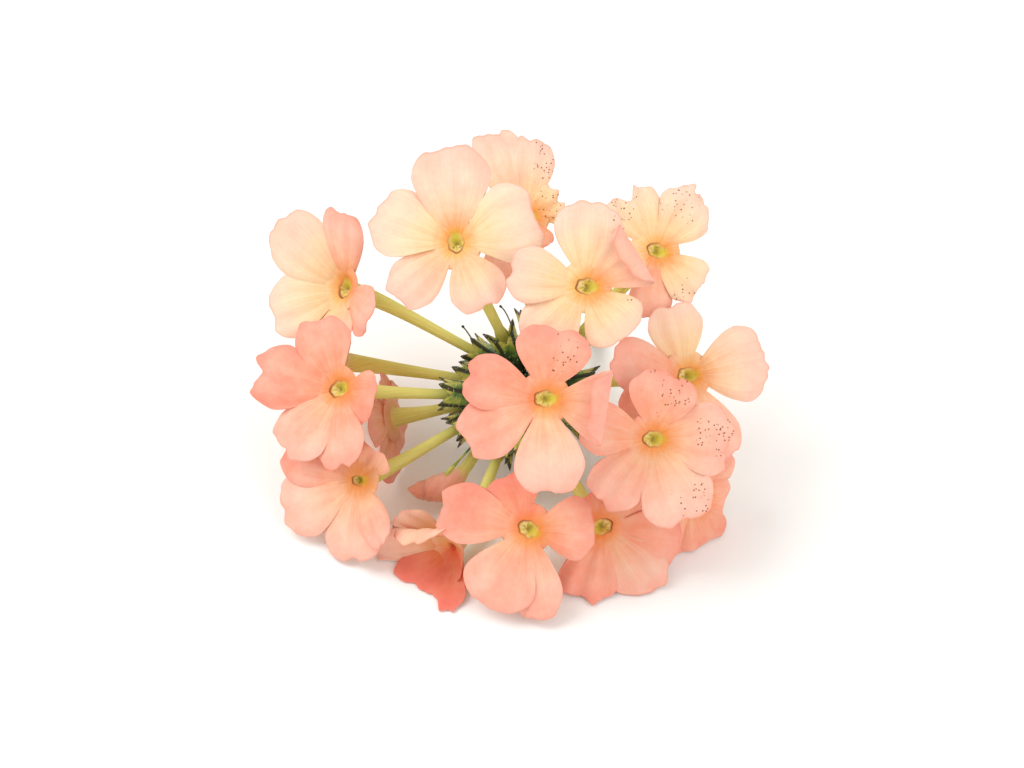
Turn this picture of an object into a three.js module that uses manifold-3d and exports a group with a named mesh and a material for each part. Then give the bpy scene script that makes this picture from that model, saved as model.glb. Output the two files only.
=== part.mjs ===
// A picked garden verbena head: sixteen five-lobed florets on slender tubes, each in its ribbed green calyx,
// round a short rachis on a cut stalk. It lies on its lowest petals and on the stalk's cut end.
// Millimetres, +Z up, the head's open side towards -Y. The origin is on the surface under the middle.

import * as THREE from "three";
import { mergeVertices } from "three/addons/utils/BufferGeometryUtils.js";
import Module from "manifold-3d";

const wasm = await Module();
wasm.setup();

const v = (x, y, z) => new THREE.Vector3(x, y, z);
const rad = THREE.MathUtils.degToRad;

// Driving dimensions
const RACHIS_MIDDLE = v(2.8, 5.4, 10.5); // where all the tubes run together
const HEAD_AXIS = v(-0.39, -0.84, 0.38).normalize(); // from the stalk to the top of the head
const RACHIS_RADIUS = 1.1;
const RACHIS_HALF = 4.6;
const STALK_RADIUS = 0.95;
const STALK_LENGTH = 25.3; // from the rachis middle to the cut
const STALK_SIDES = 10;
const SEAT_GAP = 0.3; // clearance between pieces that touch
const LINE_LEAVES = 0.5; // share of its span that a floret's line runs straight out from the rachis
const LINE_ARRIVES = 0.28; // and that it runs straight into the throat
const BUD_LINE_ARRIVES = 0.42; // a bud's line is bent more

const CALYX_LENGTH = 9.0;
const CALYX_BASE_RADIUS = 0.55;
const CALYX_MOUTH_RADIUS = 1.9;
const CALYX_WALL = 0.4;
const CALYX_SIDES = 10; // five ribs and five furrows
const RIB_SHARE = 1.06; // a rib's and a furrow's distance from the middle against the mean
const FURROW_SHARE = 0.96;
const TOOTH_LENGTH = 1.9;
const OPEN_SIDE = v(0, -0.72, 0.69); // the way that most florets face
const HOLLOW_FROM = 0.6; // share of an open calyx's length at which its hollow begins
const CLOSED_FROM = 0.86; // and of a closed one's

const TUBE_SIDES = 6;
const TUBE_ROOT_RADIUS = 0.66;
const TUBE_THROAT_RADIUS = 1.35;
const TUBE_FLARE = 2.2; // how late the tube widens
const TUBE_START = 5.8; // how far up the calyx the tube begins
const TUBE_RINGS = [0, 0.25, 0.5, 0.72, 0.88, 1];
const MOUTH_RADIUS = 0.8;
const MOUTH_DEPTH = 1.4;

const SPENT_LENGTH = 6.0;
const SPENT_SHARE = 0.62; // a spent calyx's width against a full one's
const STYLE_RADIUS = 0.32;
const STYLE_SIDES = 4;
const BUD_LENGTH = 8.5;
const BUD_RADIUS = 1.9;

const LOBE_THICKNESS = 0.6;
const LOBE_ROOT = 1.1; // distance of a lobe's root from the middle of the throat
const LOBE_ROOT_HALF = 0.6;
const LOBE_WIDEST = 0.72; // share of its length at which a lobe reaches its full width
const LOBE_SPREAD = 1.15; // how late it widens on the way there
const TIP_FROM = 0.62; // share of its length at which its edges turn in to the tip
const TIP_POWER = 2.8; // how square the tip is
const SHARES_LONG = [0, 0.34, 0.7, 1]; // where a lobe's cross lines lie, from root to tip
const SHARES_WIDE = [-1, -0.55, 0, 0.55, 1]; // and its long lines, from edge to edge
const NOTCH = 0.05; // share of the lobe's length that its tip is notched
const NOTCH_WIDTH = 0.22;
const FLOOR_LIFT = 0.28; // height at which a lobe's middle surface lies along the surface
const FLOOR_REACH = 0.9; // how far above that height a lobe begins to bend along the surface

// Each floret: its throat from the rachis middle, the way it faces, how steeply its lobes rise from
// the throat and how much they bend on the way out (degrees), where on the rachis it is seated,
// and its five lobes as [clock angle, length, width, roll of the tip, extra rise].
const FLORETS = [
  { throat: v(1.5, -20.4, 17.7), facing: v(0, -0.68, 0.73), rise: 8, bend: -6, warmth: 0.6, seat: 4.2,
    lobes: [[79, 8, 9.6], [163, 9.1, 7.2], [208, 10.2, 7.9], [275, 10.8, 8.9], [351, 10.8, 9.6, 215]] },
  { throat: v(6.8, -7, 24.4), facing: v(0, -0.63, 0.78), rise: 8, bend: -6, warmth: 0.05, seat: 1.2,
    lobes: [[87, 9.8, 8.8], [168, 8.8, 7.6], [228, 9, 8], [309, 7.2, 8.4], [31, 10.4, 8.6, 225]] },
  { throat: v(-9.6, 0.5, 25), facing: v(-0.1, -0.58, 0.81), rise: 8, bend: -8, warmth: 0.15, seat: 0.4,
    lobes: [[94, 11.8, 10.3], [159, 10.3, 9.3], [222, 9.5, 7.2], [296, 8.4, 7.6], [19, 10, 11.2]] },
  { throat: v(15.3, -19, 9.2), facing: v(0.1, -0.72, 0.69), rise: 8, bend: -8, warmth: 0.55, seat: 2.2,
    lobes: [[77, 7.6, 9.2], [168, 8.2, 7], [231, 9.4, 7.4], [294, 10.4, 9.8], [0, 9.2, 9.6]] },
  { throat: v(-0.5, -24.8, -1.2), facing: v(0, -0.71, 0.71), rise: 8, bend: -8, warmth: 0.75, seat: 4.6,
    lobes: [[166, 10.6, 8, 0, 3], [117, 6.2, 8.6], [0, 7.6, 8.4], [243, 10.2, 9.8], [279, 10.8, 6.6]] },
  { throat: v(-25.3, -6.7, 6), facing: v(-0.45, -0.61, 0.66), rise: 22, bend: -10, warmth: 0.5, seat: 4.4,
    lobes: [[167, 10.5, 8.8], [232, 9.8, 8.6], [282, 10, 7.6], [345, 5.8, 7.4], [102, 8.8, 8]] },
  { throat: v(-22.7, -15.7, -1.8), facing: v(-0.42, -0.67, 0.62), rise: 12, bend: -10, warmth: 0.45,
    seat: 2.3,
    lobes: [[203, 10.6, 9.3], [267, 9.6, 9.2], [302, 9.2, 5, 0, 14], [56, 4, 6.4], [154, 10.2, 9.2]] },
  { throat: v(20.3, -7, 8.9), facing: v(0.25, -0.66, 0.71), rise: 10, bend: -5, warmth: 0.35, seat: 0.5,
    lobes: [[104, 8.5, 7.9], [12, 10, 10.2], [294, 11.2, 7.2], [216, 9.4, 6.8, 0, -4],
      [173, 12.2, 7.4, 0, 20]] },
  { throat: v(9.5, -21.2, -4.7), facing: v(0.15, -0.7, 0.7), rise: 12, bend: -8, warmth: 0.8, seat: 3,
    lobes: [[253, 9.3, 7.8], [307, 10, 8.2], [345, 9.2, 8.8], [57, 7.6, 7.5], [122, 3.6, 6.6]] },
  { throat: v(-10, -22, -7.5), facing: v(-0.5, -0.86, 0.05), rise: 50, bend: -10, warmth: 1, seat: 0.6,
    lobes: [[248, 9, 9.2, 0, 2], [300, 9.7, 5.6, 0, 12], [118, 8.8, 9, 100, -8], [158, 7.6, 7.2, 0, -24],
      [200, 9.7, 8.8, 0, -16]] },
  { throat: v(-24.9, 8.4, 10.1), facing: v(-0.66, -0.47, 0.59), rise: 30, bend: -10, warmth: 0.2, seat: -2,
    lobes: [[131, 12.6, 9.6], [194, 10.3, 9.4], [267, 7.6, 7.5], [327, 10, 7], [74, 10.2, 7.8]] },
  { throat: v(16.4, 5.6, 19.5), facing: v(0.25, -0.45, 0.86), rise: 10, bend: -6, warmth: 0.15, seat: -2.2,
    lobes: [[117, 7.6, 9.4], [54, 9.5, 8], [320, 6.8, 7, 0, -5], [266, 8, 5.8, 0, -15],
      [201, 7.2, 7.6]] },
  { throat: v(-0.8, 12.2, 19.8), facing: v(0.1, -0.4, 0.91), rise: 10, bend: -4, warmth: 0.2, seat: -2.8,
    lobes: [[113, 11.6, 7.8], [87, 10.3, 7.4], [28, 4.6, 6], [300, 4.4, 4], [255, 10.4, 7]] },
  { throat: v(21, -16.1, -5.2), facing: v(0.6, -0.64, 0.48), rise: 10, bend: -5, warmth: 0.75, seat: -1.2,
    lobes: [[54, 7.2, 8], [345, 4.9, 8.5], [297, 6.4, 8.5], [240, 6.4, 7.5, 0, -8], [141, 6.8, 7.5]] },
  { throat: v(-18.8, -1.5, -4.3), facing: v(-0.96, 0.12, -0.26), rise: 8, bend: -4, warmth: 0.7, seat: 2.8,
    lobes: [[16, 5.6, 7.4], [88, 8, 8], [160, 8, 8], [232, 5, 6.4], [304, 4.6, 6.4]] },
  { throat: v(-25.5, 6, -1), facing: v(-0.98, 0, 0.17), rise: 8, bend: -4, warmth: 0.5, seat: 0.6,
    lobes: [[10, 6, 7], [82, 6, 7], [154, 6, 7], [226, 6, 7], [298, 6, 7]] },
];

// Calyces that have dropped their corolla: the tip of the style, the way it points and the seat.
const SPENT_CALYCES = [
  { throat: v(-6.4, 7.4, 1.1), facing: v(-0.65, 0.75, 0.11), seat: -4.4 },
  { throat: v(-11.3, -13.8, -3), facing: v(-0.6, -0.77, -0.2), seat: 4.6 },
];

// Buds: the tip, the way it points and the seat.
const BUDS = [
  { throat: v(-16.3, -12.1, -7.2), facing: v(-0.97, 0.22, 0.02), seat: -3.6 },
];

const PETAL_CREAM = new THREE.Color("#fedcb8");
const PETAL_CORAL = new THREE.Color("#f98a6c");
const CALYX_GREEN = new THREE.Color("#3f4f1c");
const STALK_GREEN = new THREE.Color("#66702f");

// A repeatable draw between -1 and 1 for a floret, a lobe of it, and one of the lobe's traits.
function chance(floret, lobe, trait) {
  const wave = Math.sin(floret * 12.9898 + lobe * 78.233 + trait * 37.719) * 43758.5453;
  return 2 * (wave - Math.floor(wave)) - 1;
}

// A closed solid from an indexed list of points, as manifold-3d holds it.
function solidFrom(points, triangles) {
  const geometry = new THREE.BufferGeometry().setFromPoints(points);
  geometry.setIndex(triangles);
  const merged = mergeVertices(geometry, 1e-4);
  return new wasm.Manifold(new wasm.Mesh({
    numProp: 3,
    vertProperties: merged.attributes.position.array,
    triVerts: new Uint32Array(merged.index.array),
  }));
}

// The largest body of a solid: slivers that a join leaves loose are dropped.
function largestBody(solid) {
  return solid.decompose().reduce((a, b) => (b.volume() > a.volume() ? b : a));
}

// A solid carried along rings of points that run outwards, then back inside to the last centre.
function ringSolid(rings, firstCentre, lastCentre) {
  const sides = rings[0].length;
  const points = [firstCentre, ...rings.flat(), lastCentre];
  const at = (ring, side) => 1 + ring * sides + (side % sides);
  const triangles = [];
  for (let side = 0; side < sides; side++) {
    triangles.push(0, at(0, side + 1), at(0, side));
    for (let ring = 0; ring + 1 < rings.length; ring++) {
      triangles.push(at(ring, side), at(ring, side + 1), at(ring + 1, side));
      triangles.push(at(ring, side + 1), at(ring + 1, side + 1), at(ring + 1, side));
    }
    triangles.push(points.length - 1, at(rings.length - 1, side), at(rings.length - 1, side + 1));
  }
  return solidFrom(points, triangles);
}

// The line of a floret from its seat on the rachis through calyx and tube to its throat. It starts
// where the calyx's base just clears the rachis's side or its top.
function floretLine({ throat, facing, seat }, arrives = LINE_ARRIVES) {
  const onRachis = HEAD_AXIS.clone().multiplyScalar(seat);
  const out = throat.clone().sub(onRachis).normalize();
  const cos = out.dot(HEAD_AXIS);
  const sin = Math.sqrt(1 - cos * cos);
  const pastSide = (RACHIS_RADIUS + SEAT_GAP + CALYX_BASE_RADIUS * cos) / sin;
  const overTop = RACHIS_HALF - seat + SEAT_GAP + CALYX_BASE_RADIUS * sin;
  const pastTop = cos > 0.1 ? overTop / cos : Infinity;
  const start = onRachis.addScaledVector(out, Math.min(pastSide, pastTop)).add(RACHIS_MIDDLE);
  const end = throat.clone().add(RACHIS_MIDDLE);
  const span = start.distanceTo(end);
  const face = facing.clone().normalize();
  return new THREE.CubicBezierCurve3(
    start,
    start.clone().addScaledVector(out, span * LINE_LEAVES),
    end.clone().addScaledVector(face, -span * arrives),
    end,
  );
}

// Two unit vectors square to a direction, the first as near to +X as it can be.
function crossPair(direction) {
  const along = v(1, 0, 0).addScaledVector(direction, -direction.x).normalize();
  return [along, direction.clone().cross(along)];
}

// Two unit vectors square to a line at a share of its length. The first is square to the plane that the
// line bends in, so that rings along it aren't twisted against each other.
function crossPairOn(line, share) {
  const forward = line.getTangentAt(share);
  const planeNormal = line.getTangentAt(0).cross(line.getTangentAt(1));
  if (planeNormal.length() < 0.001) return crossPair(forward);
  planeNormal.normalize();
  return [planeNormal, forward.cross(planeNormal)];
}

// A ring of points round a line, at a distance along it. Each side has its own radius, and its own push
// along the line. The first side is at the start turn.
function ringOn(line, distance, sides, radiusAt, pushAt = () => 0, startTurn = 0) {
  const u = THREE.MathUtils.clamp(distance / line.getLength(), 0, 1);
  const centre = line.getPointAt(u);
  const forward = line.getTangentAt(u);
  const [right, up] = crossPairOn(line, u);
  return Array.from({ length: sides }, (_, side) => {
    const turn = startTurn + (2 * Math.PI * side) / sides;
    const r = radiusAt(side);
    return centre.clone()
      .addScaledVector(right, r * Math.cos(turn))
      .addScaledVector(up, r * Math.sin(turn))
      .addScaledVector(forward, pushAt(side));
  });
}

// The turn round a line at which a calyx has its first rib, so that a furrow faces the head's open side.
function firstRibTurn(line, share) {
  const [right, up] = crossPairOn(line, share);
  return Math.atan2(OPEN_SIDE.dot(up), OPEN_SIDE.dot(right)) + (2 * Math.PI) / CALYX_SIDES;
}

// A calyx: a ribbed cup along the floret's line, with five teeth round its mouth. Open, it has room for
// the tube; closed, its teeth fill its mouth.
function calyxSolid(line, length = CALYX_LENGTH, width = 1, open = true) {
  const rib = (side) => (side % 2 === 0 ? RIB_SHARE : FURROW_SHARE);
  const tooth = (side) => (side % 2 === 0 ? 0 : -TOOTH_LENGTH * width);
  const mouth = CALYX_MOUTH_RADIUS * width;
  const startTurn = firstRibTurn(line, length / line.getLength());
  const ring = (share, radius, push) =>
    ringOn(line, length * share, CALYX_SIDES, (side) => radius * rib(side), push, startTurn);
  const rings = [
    ring(0, CALYX_BASE_RADIUS * width),
    ring(0.2, mouth * 0.52),
    ring(0.6, mouth * 0.8),
    ring(1, mouth * 1.08, tooth),
  ];
  if (open) {
    rings.push(ring(0.97, mouth - CALYX_WALL, tooth));
    rings.push(ring(HOLLOW_FROM, TUBE_ROOT_RADIUS + SEAT_GAP));
  } else {
    rings.push(ring(CLOSED_FROM, STYLE_RADIUS));
  }
  const floor = length * (open ? HOLLOW_FROM : CLOSED_FROM);
  return ringSolid(rings, line.getPointAt(0), line.getPointAt(floor / line.getLength()));
}

// The corolla's tube: a slender pipe that widens to the throat, with a short open mouth.
function tubeSolid(line) {
  const total = line.getLength();
  const widening = TUBE_THROAT_RADIUS - TUBE_ROOT_RADIUS;
  const rings = TUBE_RINGS.map((share) => {
    const radius = TUBE_ROOT_RADIUS + widening * share ** TUBE_FLARE;
    return ringOn(line, TUBE_START + (total - TUBE_START) * share, TUBE_SIDES, () => radius);
  });
  rings.push(ringOn(line, total, TUBE_SIDES, () => MOUTH_RADIUS));
  rings.push(ringOn(line, total - MOUTH_DEPTH, TUBE_SIDES, () => MOUTH_RADIUS * 0.75));
  return ringSolid(rings, line.getPointAt(TUBE_START / total), line.getPointAt(1 - MOUTH_DEPTH / total));
}

// A height that would be under the surface or just over it is bent to lie along it.
function layOnSurface(z) {
  const start = FLOOR_LIFT + FLOOR_REACH;
  return z > start ? z : FLOOR_LIFT + FLOOR_REACH * Math.exp((z - start) / FLOOR_REACH);
}

// The middle surface of one lobe: a point for its share along (0 at the root) and across (-1 to 1).
// The lobe follows a slope that changes from root to tip, is cupped across and twisted along its length.
function lobeSurface(floret, lobe) {
  const { throat, facing, rise, bend, lobes } = FLORETS[floret];
  const [clock, length, width, roll = 0, lift = 0] = lobes[lobe];
  const face = facing.clone().normalize();
  const [right, up] = crossPair(face);
  const turn = rad(clock);
  const out = right.clone().multiplyScalar(Math.cos(turn)).addScaledVector(up, Math.sin(turn));
  const side = face.clone().cross(out);
  const centre = throat.clone().add(RACHIS_MIDDLE);
  const cup = -0.35 + 0.45 * chance(floret, lobe, 1);
  const twist = 0.35 + 0.25 * chance(floret, lobe, 2);
  const slopeAt = (s) => rad(rise + lift + bend * s + roll * Math.max(0, 2 * s - 1));
  const steps = 20; // short straight pieces that the slope is followed in
  return (s, t) => {
    const rounded = Math.sqrt(Math.max(0, 1 - Math.abs(t) ** TIP_POWER));
    const notch = NOTCH * Math.exp(-((t / NOTCH_WIDTH) ** 2));
    const along = s * (TIP_FROM + (1 - TIP_FROM) * rounded - notch);
    let x = LOBE_ROOT;
    let z = 0;
    for (let i = 0; i < steps; i++) {
      const slope = slopeAt(((i + 0.5) * along) / steps);
      x += (Math.cos(slope) * along * length) / steps;
      z += (Math.sin(slope) * along * length) / steps;
    }
    const widened = Math.sin((Math.PI / 2) * Math.min(1, along / LOBE_WIDEST)) ** LOBE_SPREAD;
    const half = LOBE_ROOT_HALF + (width / 2 - LOBE_ROOT_HALF) * widened;
    const point = centre.clone()
      .addScaledVector(out, x)
      .addScaledVector(side, half * t)
      .addScaledVector(face, z + (cup * t * t + twist * t) * along);
    point.z = layOnSurface(point.z);
    return point;
  };
}

// The unit normal of a lobe's surface, from short steps along it and across it that stay inside its edges.
function lobeNormal(surface, s, t) {
  const step = 0.02;
  const awayFromRoot = Math.max(0.05, s);
  const insideEdge = THREE.MathUtils.clamp(t, -0.97, 0.97);
  const along = surface(Math.min(1, s + step), t).sub(surface(Math.max(0, s - step), t));
  const across = surface(awayFromRoot, insideEdge + step).sub(surface(awayFromRoot, insideEdge - step));
  return along.cross(across).normalize();
}

// One lobe as a closed blade: the middle surface, thickened to both sides along its normals.
function lobeSolid(floret, lobe) {
  const surface = lobeSurface(floret, lobe);
  const long = SHARES_LONG.length - 1;
  const wide = SHARES_WIDE.length - 1;
  const points = [];
  for (const sign of [1, -1]) {
    for (const s of SHARES_LONG) {
      for (const t of SHARES_WIDE) {
        const normal = lobeNormal(surface, s, t);
        points.push(surface(s, t).addScaledVector(normal, (sign * LOBE_THICKNESS) / 2));
      }
    }
  }
  const at = (layer, i, j) => layer * (long + 1) * (wide + 1) + i * (wide + 1) + j;
  const triangles = [];
  const quad = (a, b, c, d) => triangles.push(a, b, c, a, c, d);
  for (let i = 0; i < long; i++) {
    for (let j = 0; j < wide; j++) {
      quad(at(0, i, j), at(0, i + 1, j), at(0, i + 1, j + 1), at(0, i, j + 1));
      triangles.push(at(1, i, j), at(1, i + 1, j + 1), at(1, i + 1, j));
      triangles.push(at(1, i, j), at(1, i, j + 1), at(1, i + 1, j + 1));
    }
    quad(at(0, i, 0), at(1, i, 0), at(1, i + 1, 0), at(0, i + 1, 0));
    quad(at(0, i, wide), at(0, i + 1, wide), at(1, i + 1, wide), at(1, i, wide));
  }
  for (let j = 0; j < wide; j++) {
    quad(at(0, 0, j), at(0, 0, j + 1), at(1, 0, j + 1), at(1, 0, j));
    quad(at(0, long, j), at(1, long, j), at(1, long, j + 1), at(0, long, j + 1));
  }
  return solidFrom(points, triangles);
}

// A whole corolla: its tube and its five lobes, grown together.
function corollaSolid(floret) {
  let solid = tubeSolid(floretLine(FLORETS[floret]));
  FLORETS[floret].lobes.forEach((_, lobe) => {
    solid = solid.add(lobeSolid(floret, lobe));
  });
  return solid;
}

// The stalk and the rachis that it ends in: one tapered rod along the head's axis, cut square below.
function stalkSolid() {
  const at = (distance) => RACHIS_MIDDLE.clone().addScaledVector(HEAD_AXIS, distance);
  const line = new THREE.LineCurve3(at(-STALK_LENGTH), at(RACHIS_HALF));
  const profile = [
    [0, STALK_RADIUS],
    [STALK_LENGTH - RACHIS_HALF - 1, STALK_RADIUS],
    [STALK_LENGTH - RACHIS_HALF + 1, RACHIS_RADIUS],
    [STALK_LENGTH + RACHIS_HALF - 0.6, RACHIS_RADIUS * 0.85],
    [STALK_LENGTH + RACHIS_HALF, RACHIS_RADIUS * 0.4],
  ];
  const rings = profile.map(([distance, radius]) => ringOn(line, distance, STALK_SIDES, () => radius));
  return ringSolid(rings, line.getPointAt(0), line.getPointAt(1));
}

// A calyx whose corolla has fallen: its teeth lean together, and a thin style stands out of it and
// ends in a thicker tip.
function spentCalyxSolid(spent) {
  const line = floretLine(spent);
  const total = line.getLength();
  const start = SPENT_LENGTH * 0.8;
  const rings = [0, 0.5, 0.8, 1].map((share) => {
    const radius = share < 1 ? STYLE_RADIUS : STYLE_RADIUS * 1.5;
    return ringOn(line, start + share * (total - start), STYLE_SIDES, () => radius);
  });
  const style = ringSolid(rings, line.getPointAt(start / total), line.getPointAt(1));
  return calyxSolid(line, SPENT_LENGTH, SPENT_SHARE, false).add(style);
}

// A corolla that has not opened: its tube and its lobes rolled together into a pointed bud.
function budSolid(line) {
  const total = line.getLength();
  const profile = [
    [TUBE_START, TUBE_ROOT_RADIUS],
    [total - BUD_LENGTH, TUBE_ROOT_RADIUS * 1.3],
    [total - BUD_LENGTH * 0.72, BUD_RADIUS * 0.85],
    [total - BUD_LENGTH * 0.45, BUD_RADIUS],
    [total - BUD_LENGTH * 0.15, BUD_RADIUS * 0.6],
    [total, 0.25],
  ];
  const rings = profile.map(([distance, radius]) => ringOn(line, distance, TUBE_SIDES, () => radius));
  return ringSolid(rings, line.getPointAt(TUBE_START / total), line.getPointAt(1));
}

// Turns a solid into a named mesh of a plain colour.
function meshOf(name, solid, colour, roughness) {
  const { vertProperties, triVerts } = largestBody(solid).getMesh();
  const geometry = new THREE.BufferGeometry();
  geometry.setAttribute("position", new THREE.BufferAttribute(vertProperties, 3));
  geometry.setIndex(new THREE.BufferAttribute(triVerts, 1));
  geometry.computeVertexNormals();
  const material = new THREE.MeshStandardMaterial({ color: colour, roughness, metalness: 0 });
  const mesh = new THREE.Mesh(geometry, material);
  mesh.name = name;
  return mesh;
}

const head = new THREE.Group();
const number = (index) => String(index + 1).padStart(2, "0");
head.add(meshOf("stalk", stalkSolid(), STALK_GREEN, 0.7));
FLORETS.forEach((floret, index) => {
  const petals = PETAL_CREAM.clone().lerp(PETAL_CORAL, floret.warmth);
  head.add(meshOf(`calyx_${number(index)}`, calyxSolid(floretLine(floret)), CALYX_GREEN, 0.7));
  head.add(meshOf(`corolla_${number(index)}`, corollaSolid(index), petals, 0.6));
});
SPENT_CALYCES.forEach((spent, index) => {
  head.add(meshOf(`spent_calyx_${number(index)}`, spentCalyxSolid(spent), CALYX_GREEN, 0.7));
});
BUDS.forEach((bud, index) => {
  const line = floretLine(bud, BUD_LINE_ARRIVES);
  head.add(meshOf(`bud_calyx_${number(index)}`, calyxSolid(line), CALYX_GREEN, 0.7));
  head.add(meshOf(`bud_${number(index)}`, budSolid(line), PETAL_CORAL, 0.6));
});

export default head;
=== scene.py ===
"""A picked garden verbena head that lies on a white table: sixteen peach florets on slender tubes, each in
its ribbed green calyx, with two spent calyces and a bud, round a short cut stalk. Lengths are in
millimetres, apart from those that a comment gives in metres."""

import bpy
import numpy as np
from mathutils import Matrix, Vector


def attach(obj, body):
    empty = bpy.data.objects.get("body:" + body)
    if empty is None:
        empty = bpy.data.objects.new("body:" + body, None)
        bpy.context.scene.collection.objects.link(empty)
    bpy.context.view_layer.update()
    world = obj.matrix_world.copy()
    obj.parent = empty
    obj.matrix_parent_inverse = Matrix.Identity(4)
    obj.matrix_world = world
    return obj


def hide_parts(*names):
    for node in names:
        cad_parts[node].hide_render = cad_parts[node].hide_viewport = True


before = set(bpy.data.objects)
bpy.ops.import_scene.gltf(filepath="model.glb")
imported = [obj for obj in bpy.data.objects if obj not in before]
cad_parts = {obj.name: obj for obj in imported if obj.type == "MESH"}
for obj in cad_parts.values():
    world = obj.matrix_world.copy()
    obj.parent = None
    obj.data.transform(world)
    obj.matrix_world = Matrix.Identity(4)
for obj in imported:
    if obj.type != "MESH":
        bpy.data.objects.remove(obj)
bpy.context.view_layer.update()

# --- The table, the light and the view ---
# A matt white tabletop under broad soft light from the upper left, with a pale room all round.
# The eye is about a third of a metre away and looks down on the head at 44 degrees.

MM = 0.001  # in Blender's metres
RACHIS_MIDDLE = np.array([2.8, 5.4, 10.5])  # where all the florets' tubes run together
VIEW_DOWN = np.radians(44)
VIEW_AWAY = 330
VIEW_ASIDE = (-2.432, 0.405)  # how far the middle of the view is right of the rachis and above it
LENS = 85.85
SENSOR_WIDTH = 36
NEAREST_SEEN = 0.01  # in metres
FARTHEST_SEEN = 20  # in metres
TABLETOP_WIDTH = 6  # in metres
BOARD_GRAIN = 1.111
BOARD_RELIEF = 0.02
LIT_POINT = Vector((0, 0, 0.015))  # where both lamps aim, in metres


def linear(hex_colour):
    """An sRGB hex colour as linear red, green, blue and an alpha of 1."""
    shares = [int(hex_colour[i : i + 2], 16) / 255 for i in (1, 3, 5)]
    return [s / 12.92 if s <= 0.04045 else ((s + 0.055) / 1.055) ** 2.4 for s in shares] + [1.0]


def per_metre(size):
    """A texture's scale for features of a size in millimetres: how many of them lie along a metre."""
    return 1 / (size * MM)


def add(tree, kind, sockets=None, stops=None, **settings):
    """Adds a node: its settings, the stops of its ramp, and for each input socket a value or a link. Sockets
    go by name or number: a MapRange has its value, the range it comes from and the range it goes to as
    0 to 4, and a Mix of colours has its share as 0 and the two colours as 6 and 7."""
    made = tree.nodes.new("ShaderNode" + kind)
    for name, value in settings.items():
        setattr(made, name, value)
    if stops:
        ramp = made.color_ramp.elements
        for place, colour in stops[1:-1]:
            ramp.new(place).color = linear(colour)
        for element, (place, colour) in ((ramp[0], stops[0]), (ramp[-1], stops[-1])):
            element.position = place
            element.color = linear(colour)
    for key, value in (sockets or {}).items():
        if isinstance(value, bpy.types.NodeSocket):
            tree.links.new(value, made.inputs[key])
        else:
            made.inputs[key].default_value = value
    return made


def fresh_material(name):
    """A material of that name, and its node tree with nothing in it."""
    material = bpy.data.materials.new(name)
    material.use_nodes = True
    material.node_tree.nodes.clear()
    return material, material.node_tree


def matt_white_tabletop():
    """White melamine board, fine-pressed and matt: it shows soft shadows and next to no reflection. Its
    grain is drawn ten times as coarse as it is, so that it shows."""
    material, tree = fresh_material("matt_white_tabletop")
    place = add(tree, "TexCoord").outputs["Object"]
    grain = add(tree, "TexNoise", {"Vector": place, "Scale": per_metre(BOARD_GRAIN), "Detail": 3})
    relief = {"Height": grain.outputs["Fac"], "Strength": 0.1, "Distance": BOARD_RELIEF * MM}
    bump = add(tree, "Bump", relief)
    surface = add(tree, "BsdfPrincipled", {
        "Base Color": linear("#fafaf8"), "Roughness": 0.75, "Normal": bump.outputs["Normal"],
    })
    add(tree, "OutputMaterial", {"Surface": surface.outputs["BSDF"]})
    return material


bpy.ops.mesh.primitive_plane_add(size=TABLETOP_WIDTH)
tabletop = bpy.context.object
tabletop.name = "tabletop"
tabletop.data.materials.append(matt_white_tabletop())

view_back = np.array([0, -np.cos(VIEW_DOWN), np.sin(VIEW_DOWN)])
view_up = np.array([0, np.sin(VIEW_DOWN), np.cos(VIEW_DOWN)])
aim = RACHIS_MIDDLE + [VIEW_ASIDE[0], 0, 0] + VIEW_ASIDE[1] * view_up
stand = np.eye(4)
stand[:3, 1] = view_up
stand[:3, 2] = view_back
stand[:3, 3] = (aim + VIEW_AWAY * view_back) * MM
eye = bpy.data.objects.new("eye", bpy.data.cameras.new("eye"))
bpy.context.scene.collection.objects.link(eye)
eye.matrix_world = Matrix(stand.tolist())
eye.data.lens = LENS
eye.data.sensor_width = SENSOR_WIDTH
eye.data.clip_start = NEAREST_SEEN
eye.data.clip_end = FARTHEST_SEEN
bpy.context.scene.camera = eye

# Each lamp has a name, a place and a width in metres, and a power in watts.
for name, place, width, power in (
    ("window_left", (-0.55, 0.1, 0.75), 0.7, 4.6),
    ("sheet_right", (0.6, -0.5, 0.5), 0.8, 2.6),
):
    lamp = bpy.data.lights.new(name, "AREA")
    lamp.shape = "DISK"
    lamp.size = width
    lamp.energy = power
    hung = bpy.data.objects.new(name, lamp)
    hung.location = place
    hung.rotation_mode = "QUATERNION"
    hung.rotation_quaternion = (LIT_POINT - Vector(place)).to_track_quat("-Z", "Y")
    bpy.context.scene.collection.objects.link(hung)

room = bpy.data.worlds.new("pale_room")
room.use_nodes = True
room.node_tree.nodes.clear()
glow = add(room.node_tree, "Background", {"Color": linear("#fffdfb"), "Strength": 0.8})
add(room.node_tree, "OutputWorld", {"Surface": glow.outputs["Background"]})
bpy.context.scene.world = room
bpy.context.scene.view_settings.view_transform = "Standard"

# --- The stalk and the rachis ---
# The square green stem of a verbena, cut off two centimetres below the head. It ends in the short
# rachis that carries every calyx. Living tissue with short hairs, grown in one with its calyces.

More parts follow.
